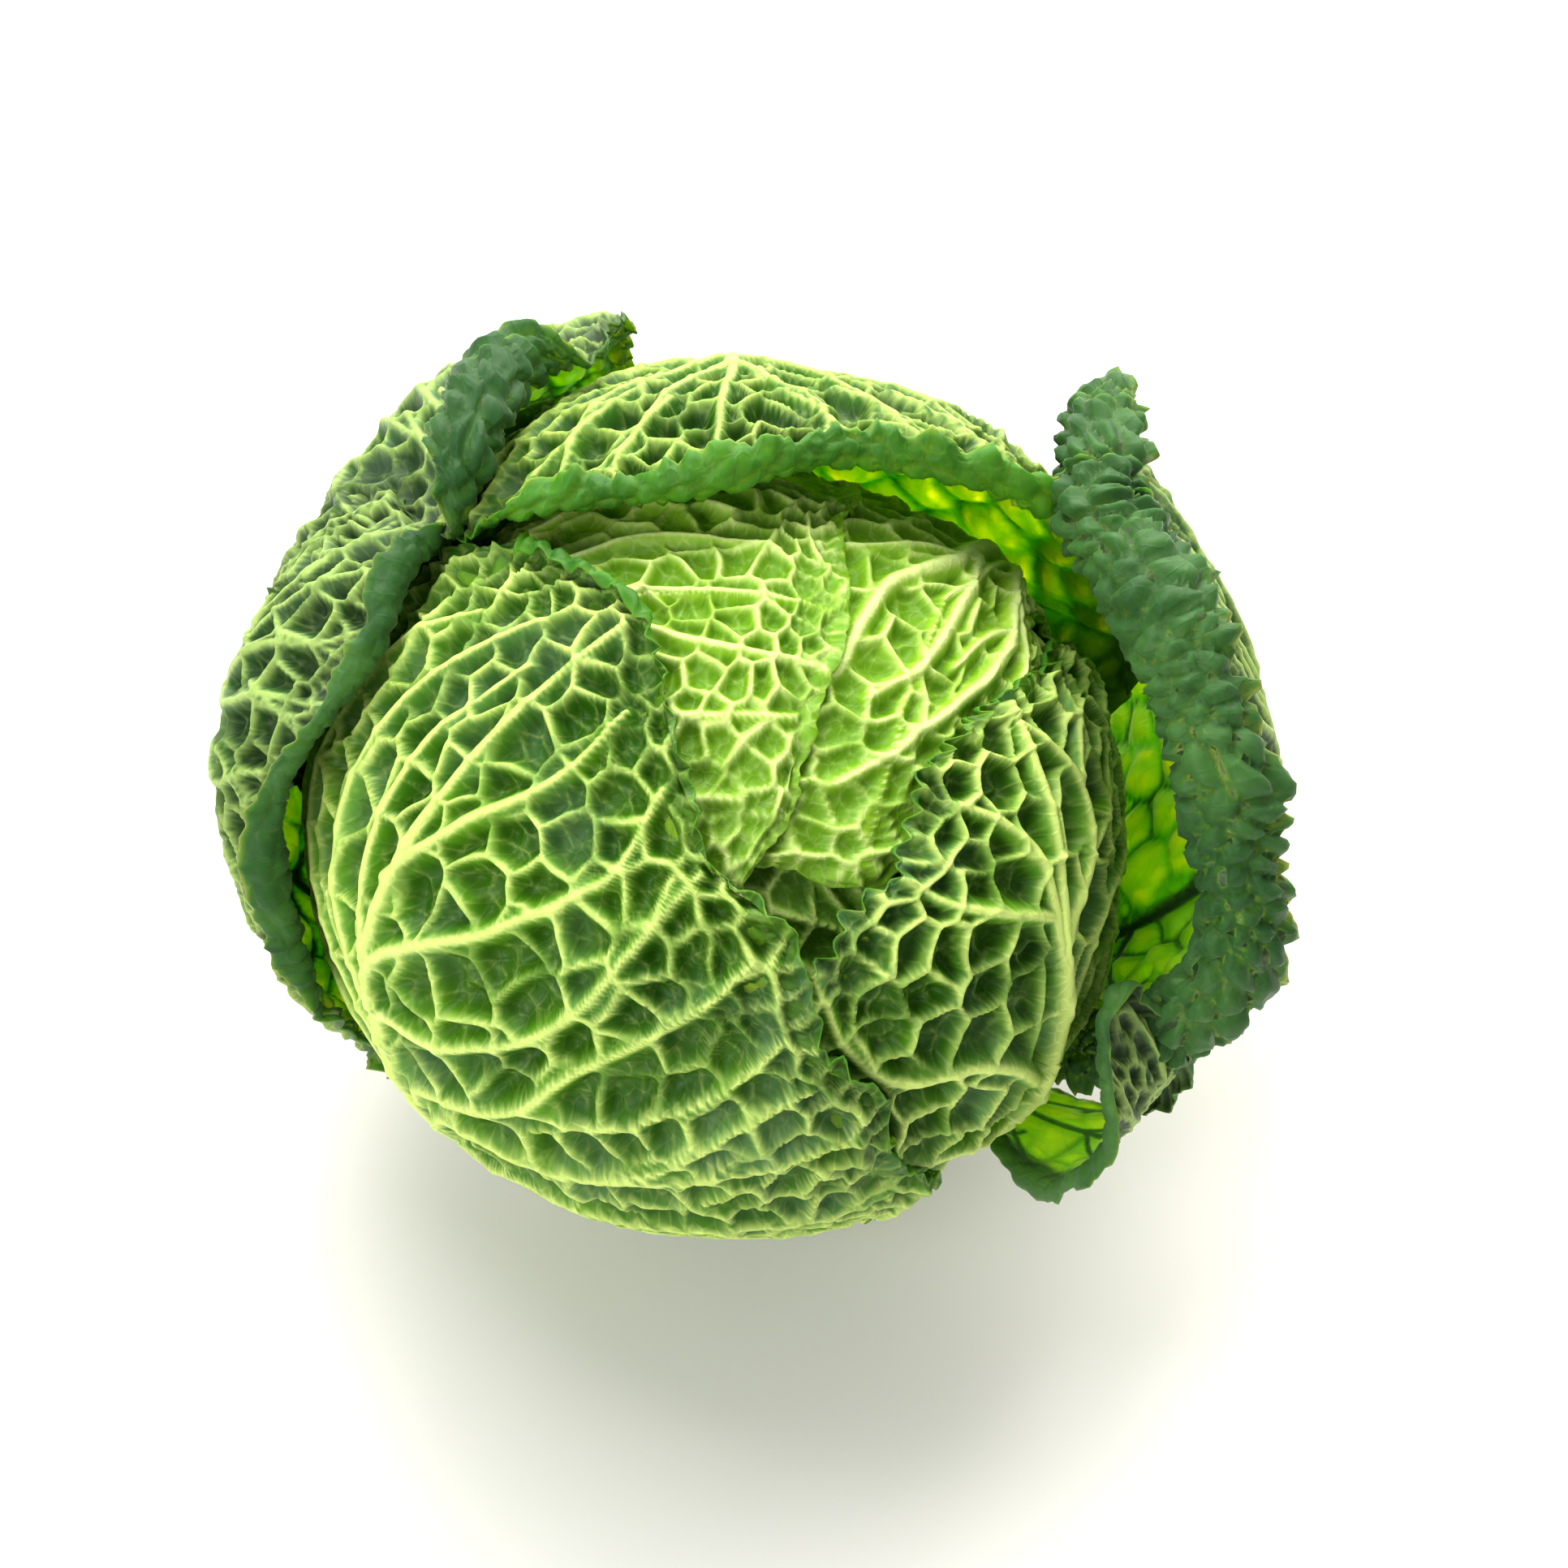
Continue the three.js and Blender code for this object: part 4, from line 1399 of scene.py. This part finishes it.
LEAVES = (
    LeafShape(
        "heart_leaf_right",
        "heart_leaf",
        15,
        ((15, BASE), (15, 100), (15, 60)),
        ((-14, 162), (-38, 110), (-32, 60)),
        (5, 38),
        ((50, 45), (70, 100), (44, 162)),
        ((165, 77.9), (120, 78.2), (85, 83.5), (62, 84), (45, 80.5), (38, 78.2)),
        thick=1.5,
        rib_width=2.6,
        laterals=FEW,
        relief=HEART_RELIEF,
        rows=220,
        blade=90,
        covered_by=("heart_leaf_back", "heart_leaf_left", "wrapper_leaf_front_right"),
    ),
    LeafShape(
        "heart_leaf_back",
        "heart_leaf",
        42,
        ((42, BASE), (42, 110), (38, 68), (18, 38), (-40, 20)),
        ((72, 163), (98, 110), (110, 62), (165, 42), (222, 44), (262, 39)),
        (300, 48),
        ((328, 50), (356, 51), (8, 54), (24, 60), (24, 90), (18, 120), (14, 163)),
        ((165, 80.2), (120, 81), (90, 86.6), (62, 87.6), (45, 84.2), (25, 81.6), (-20, 80.6)),
        flare=(-2, 0, 0),
        thick=1.5,
        rib_width=2.8,
        veins=(
            Vein(
                ((40, 90), (40, 63), (29, 41), (22, 29), (358, 21), (332, 20), (316, 19), (301, 25)),
                5.0,
                1.6,
            ),
            Vein(((34, 52), (10, 37), (350, 31), (329, 26)), 3.6, 1.5),
            Vein(((39, 78), (37, 65), (13, 49), (352, 41), (321, 34), (301, 33)), 4.4, 1.6),
            Vein(((38, 72), (26, 56), (8, 51), (350, 47), (330, 45)), 2.6, 1.2),
            Vein(((32, 50), (36, 36), (40, 26), (60, 16)), 2.2, 1.2),
            Vein(((350, 31), (340, 34), (330, 36)), 1.8, 1.1),
            Vein(((13, 49), (10, 44), (356, 37)), 1.8, 1.1),
        ),
        relief=HEART_RELIEF,
        rows=400,
        blade=150,
        covered_by=("heart_leaf_left", "wrapper_leaf_front_right", "wrapper_leaf_front_left"),
    ),
    LeafShape(
        "heart_leaf_left",
        "heart_leaf",
        178,
        ((178, BASE), (178, 90), (178, 30), (2, 8)),
        ((212, 163), (242, 110), (258, 70), (280, 40), (300, 25), (320, 19)),
        (0, 18),
        ((50, 27), (62, 42), (95, 60), (118, 110), (144, 163)),
        ((165, 81.2), (120, 81.4), (95, 83), (60, 84.6), (20, 84.4), (-30, 84)),
        thick=1.5,
        rib_width=2.4,
        veins=(
            Vein(((178, 90), (180, 50), (186, 30), (190, 17), (263, 9), (323, 18)), 3.6, 1.4),
            Vein(((182, 44), (176, 16), (159, 2), (0, 11)), 3.0, 1.3),
            Vein(((170, 60), (159, 31), (129, 18), (52, 13)), 2.8, 1.3),
            Vein(((200, 40), (225, 26), (262, 20), (300, 22)), 2.4, 1.2),
            Vein(((196, 60), (225, 42), (252, 33), (275, 32)), 2.6, 1.2),
            Vein(((190, 80), (222, 62), (246, 52), (262, 52)), 2.6, 1.2),
            Vein(((160, 50), (130, 36), (95, 34), (70, 36)), 2.4, 1.2),
        ),
        relief=Relief(12.0, 6.0, 2.8, 0.9, frill=2.4, bow=1.0),
        rows=440,
        blade=176,
        covered_by=("wrapper_leaf_front_left", "wrapper_leaf_front_right"),
    ),
    LeafShape(
        "wrapper_leaf_front_right",
        "wrapper_leaf",
        324,
        ((320, BASE), (321, 110), (325, 84), (330, 66), (346, 56)),
        ((290, 163), (268, 125), (272, 80), (290, 54), (306, 49), (321, 40), (336, 40)),
        (352, 45),
        ((6, 54), (24, 72), (32, 98), (24, 130), (348, 163)),
        ((165, 83.4), (135, 84), (112, 86), (95, 87.8), (60, 88.2), (40, 85.8)),
        flare=(-0.6, 0, 3.4),
        wave=Wave(0.4, 5, 0.2),
        rib_width=9.0,
        veins=(
            Vein(((326, 74), (329, 60), (328, 53), (323, 45)), 3.8, 1.5),
            Vein(((326, 76), (331, 71), (340, 68), (346, 61), (348, 54), (348, 46)), 4.4, 1.6),
            Vein(((322, 95), (338, 79), (350, 82), (0, 84), (4, 78), (7, 64)), 3.0, 1.4),
            Vein(((327, 68), (311, 56), (306, 50)), 2.8, 1.3),
            Vein(((321, 98), (309, 82), (295, 78), (288, 69), (284, 56)), 3.4, 1.5),
            Vein(((321, 108), (338, 100), (356, 98), (14, 100)), 3.2, 1.4),
            Vein(((321, 112), (302, 102), (286, 96), (276, 92)), 3.0, 1.4),
            Vein(((346, 61), (358, 58), (4, 56)), 2.2, 1.2),
            Vein(((340, 68), (352, 70), (8, 70), (18, 74)), 2.2, 1.2),
        ),
        relief=WRAP_RELIEF,
        rows=450,
        blade=180,
        covered_by=("wrapper_leaf_front_left",),
    ),
    LeafShape(
        "wrapper_leaf_front_left",
        "wrapper_leaf",
        214,
        ((216, BASE), (219, 110), (213, 78), (211, 50), (213, 28)),
        (
            (244, 163),
            (276, 142),
            (296, 122),
            (301, 102),
            (291, 82),
            (283, 66),
            (279, 50),
            (266, 38),
            (258, 27),
            (240, 18),
        ),
        (212, 13),
        ((188, 15), (165, 26), (154, 42), (148, 75), (156, 120), (192, 163)),
        ((165, 86.4), (135, 86), (112, 86.8), (92, 89), (75, 91), (50, 91.2), (15, 90)),
        flare=(5, 0.5, 0.8),
        wave=Wave(0.6, 8, 0.1),
        curl=Curl(3.2, 170, 0.44, 0.76),
        rib_width=6.5,
        veins=(
            Vein(((213, 82), (216, 72), (232, 58), (244, 48), (250, 43), (256, 32)), 3.6, 1.4),
            Vein(((216, 89), (217, 83), (232, 77), (247, 65), (258, 50), (266, 42)), 3.6, 1.4),
            Vein(((222, 100), (224, 94), (241, 83), (250, 72), (265, 61), (275, 53)), 3.8, 1.4),
            Vein(((224, 104), (231, 96), (253, 94), (274, 87), (288, 82)), 3.8, 1.4),
            Vein(((222, 118), (238, 112), (258, 110), (276, 106), (294, 102)), 3.6, 1.4),
            Vein(((220, 132), (244, 128), (268, 126), (288, 120)), 3.4, 1.4),
            Vein(((210, 63), (222, 44), (232, 34), (238, 24)), 3.0, 1.3),
            Vein(((213, 78), (204, 62), (200, 46), (202, 28)), 3.2, 1.3),
            Vein(((215, 86), (198, 72), (190, 56), (187, 40), (190, 24)), 3.4, 1.3),
            Vein(((218, 94), (194, 82), (180, 66), (174, 48), (176, 34)), 3.4, 1.3),
            Vein(((221, 102), (192, 94), (174, 80), (164, 64), (160, 50)), 3.4, 1.3),
            Vein(((221, 112), (192, 108), (172, 98), (158, 84)), 3.2, 1.3),
            Vein(((253, 94), (262, 88), (272, 78), (282, 72)), 2.4, 1.2),
            Vein(((241, 83), (256, 80), (270, 72), (279, 64)), 2.2, 1.2),
        ),
        relief=WRAP_RELIEF,
        rows=480,
        blade=124,
        inner_blade=20,
    ),
    LeafShape(
        "wrapper_leaf_back",
        "wrapper_leaf",
        88,
        ((88, BASE), (88, 110), (88, 60), (92, 22)),
        ((60, 163), (34, 125), (28, 88), (28, 60), (34, 42), (56, 27)),
        (95, 13),
        ((138, 21), (151, 33), (152, 52), (148, 76), (144, 112), (114, 163)),
        ((165, 88.6), (135, 92), (110, 101), (90, 105.5), (58, 108), (38, 103), (12, 97)),
        flare=(7, 0, -4),
        wave=Wave(1.2, 6, 0.3),
        curl=Curl(3.8, 190, 0.2, 0.72),
        rib_width=6.0,
        laterals=ALL_ROUND,
        relief=WRAP_RELIEF,
        rows=400,
        blade=120,
        inner_blade=50,
    ),
    LeafShape(
        "outer_leaf_front_right",
        "outer_leaf",
        332,
        ((344, BASE), (341, 140), (332, 120), (330, 98)),
        ((338, 163), (337, 145), (332, 132), (323, 120), (320, 107), (323, 95)),
        (330, 86),
        ((334, 92), (336, 104), (338, 120), (347, 141), (352, 163)),
        ((165, 87.5), (142, 89.5), (129, 94), (114, 110), (101, 111), (86, 98)),
        flare=(-4, 0, 4),
        wave=Wave(0.6, 4, 0.6),
        curl=Curl(2.4, 130, 0.16, 0.84),
        thick=1.6,
        rib_width=3.0,
        laterals=(0.25, 0.36, 0.44, 0.56, 0.64, 0.75),
        relief=Relief(9.0, 6.0, 2.0, 0.8, frill=1.4, bow=1.0),
        rows=300,
        blade=60,
        inner_blade=50,
    ),
    LeafShape(
        "outer_leaf_right",
        "outer_leaf",
        5,
        ((4, BASE), (4, 120), (5, 85), (8, 66)),
        ((350, 163), (345, 130), (341, 104), (341, 86), (347, 70), (358, 59)),
        (14, 52),
        ((27, 53), (38, 61), (51, 92), (38, 130), (20, 163)),
        ((165, 91), (138, 92.5), (116, 103), (98, 117), (80, 124), (66, 121), (52, 111)),
        flare=(-18, -2, 17),
        wave=Wave(1, 5, 0),
        curl=Curl(8.5, 210, 0.08, 0.78),
        thick=2.0,
        rib_width=6.0,
        laterals=ALL_ROUND,
        relief=OUTER_RELIEF,
        rows=460,
        blade=90,
        inner_blade=60,
    ),
    LeafShape(
        "outer_leaf_back_left",
        "outer_leaf",
        130,
        ((130, BASE), (130, 110), (126, 78), (117, 60)),
        ((118, 163), (107, 120), (101, 85), (102, 63)),
        (109, 49),
        ((121, 46), (137, 38), (149, 40), (157, 56), (163, 90), (157, 130), (142, 163)),
        ((165, 91.5), (135, 97.5), (112, 110), (90, 119), (66, 121), (42, 103)),
        flare=(-5, 9, -9),
        wave=Wave(1, 5, 0.1),
        curl=Curl(6.5, 215, 0.5, 0.76),
        thick=2.0,
        rib_width=5.5,
        laterals=ALL_ROUND,
        relief=OUTER_RELIEF,
        rows=380,
        blade=100,
        inner_blade=60,
    ),
    LeafShape(
        "outer_leaf_left",
        "outer_leaf",
        172,
        ((174, BASE), (174, 110), (170, 78), (165, 60)),
        ((188, 163), (200, 130), (203, 108), (198, 90), (190, 72), (184, 58), (174, 49)),
        (162, 46),
        ((150, 49), (142, 70), (140, 100), (146, 130), (162, 163)),
        ((165, 92), (135, 93.5), (115, 99), (95, 109), (72, 115), (50, 112)),
        flare=(-9, -12, 13),
        wave=Wave(1.2, 6, 0.4),
        curl=Curl(2.8, 180, 0.14, 0.62),
        thick=2.0,
        rib_width=5.5,
        laterals=ALL_ROUND,
        relief=OUTER_RELIEF,
        rows=380,
        blade=110,
        inner_blade=60,
    ),
)


@dataclass
class Head:
    """The whole head: heart, leaves from the inside out, and stem."""

    middle: Array = field(init=False)

    def __post_init__(self) -> None:
        """Takes the middle of the head from the heart's box."""
        low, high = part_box("heart")
        self.middle = np.array((low + high) / 2)

    def build(self) -> None:
        """Builds every piece."""
        Stem().build()
        Heart().build(self.middle)
        finishes = {
            "heart_leaf": (HEART_OUT, HEART_IN),
            "wrapper_leaf": (WRAP_OUT, WRAP_IN),
            "outer_leaf": (OUTER_OUT, OUTER_IN),
        }
        faces = {shape.name: LeafFace(shape) for shape in LEAVES}
        beneath = LeafMap()
        for k, shape in enumerate(LEAVES):
            cover = LeafMap.coverage([faces[name] for name in shape.covered_by])
            tight = shape.slot == "heart_leaf" or shape.name.startswith("wrapper_leaf_front")
            outside, inside = finishes[shape.slot]
            if shape.name == "wrapper_leaf_back":
                outside = BACK_OUT
            leaf = Leaf(shape, outside, inside, seed=k)
            leaf.build(cover, beneath if tight else None, self.middle)


# ---------------------------------------------------------------- studio


@dataclass(frozen=True)
class Lamp:
    """A soft panel of light: where it hangs and what it points at, in metres from the head's middle."""

    name: str
    place: tuple[float, float, float]
    size: float
    watts: float
    colour: str = "#ffffff"


@dataclass
class Studio:
    """A pale floor, soft light from behind and above, and the camera."""

    middle: Array
    distance: float = 1.1
    elevation: float = 52.0
    lens: float = 111.7
    shift: tuple[float, float] = (0.0393, 0.0383)
    sensor: float = 36.0
    sky: str = "#f7f8fa"
    sky_strength: float = 0.45
    floor_width: float = 6.0
    board: str = "#f1efe9"
    lamps: tuple[Lamp, ...] = (
        Lamp("back_panel", (0.15, 1.0, 0.9), 1.5, 38.0, "#fffdf6"),
        Lamp("top_panel", (-0.3, 0.2, 1.3), 0.7, 10.0, "#fdfdff"),
        Lamp("front_panel", (-0.8, -0.9, 0.8), 0.6, 11.0, "#fffefb"),
    )

    def build(self) -> None:
        """Builds floor, light and camera."""
        self._floor()
        for lamp in self.lamps:
            light = bpy.data.lights.new(lamp.name, "AREA")
            light.shape, light.size, light.energy = "SQUARE", lamp.size, lamp.watts
            light.color = linear(lamp.colour)[:3]
            holder = bpy.data.objects.new(lamp.name, light)
            holder.location = Vector(self.middle) + Vector(lamp.place)
            holder.rotation_euler = (-Vector(lamp.place)).to_track_quat("-Z", "Y").to_euler()
            bpy.context.scene.collection.objects.link(holder)
        world = bpy.data.worlds.new("daylight")
        world.use_nodes = True
        sky = world.node_tree.nodes["Background"]
        sky.inputs["Color"].default_value = linear(self.sky)
        sky.inputs["Strength"].default_value = self.sky_strength
        bpy.context.scene.world = world
        bpy.context.scene.view_settings.view_transform = "Standard"
        self._camera()

    def _floor(self) -> None:
        """A plain pale floor under the stem."""
        bpy.ops.mesh.primitive_plane_add(size=self.floor_width, location=(0, 0, 0))
        floor = bpy.context.object
        floor.name = "floor"
        material = bpy.data.materials.new("painted_board")
        material.use_nodes = True
        skin = material.node_tree.nodes["Principled BSDF"]
        skin.inputs["Base Color"].default_value = linear(self.board)
        skin.inputs["Roughness"].default_value = 0.8
        floor.data.materials.append(material)

    def _camera(self) -> None:
        """The camera, looking down at the head from the front."""
        camera = bpy.data.objects.new("camera", bpy.data.cameras.new("camera"))
        tilt = math.radians(self.elevation)
        back = Vector((0, -math.cos(tilt), math.sin(tilt)))
        camera.location = Vector(self.middle) + back * self.distance
        camera.rotation_euler = (-back).to_track_quat("-Z", "Y").to_euler()
        camera.data.lens = self.lens
        camera.data.sensor_width = self.sensor
        camera.data.shift_x, camera.data.shift_y = self.shift
        camera.data.clip_end = 20
        bpy.context.scene.collection.objects.link(camera)
        bpy.context.scene.camera = camera


def main() -> None:
    """Builds the head and its studio."""
    logging.basicConfig(level=logging.INFO, format="%(message)s")
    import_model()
    head = Head()
    head.build()
    Studio(head.middle).build()


if __name__ == "__main__":
    main()
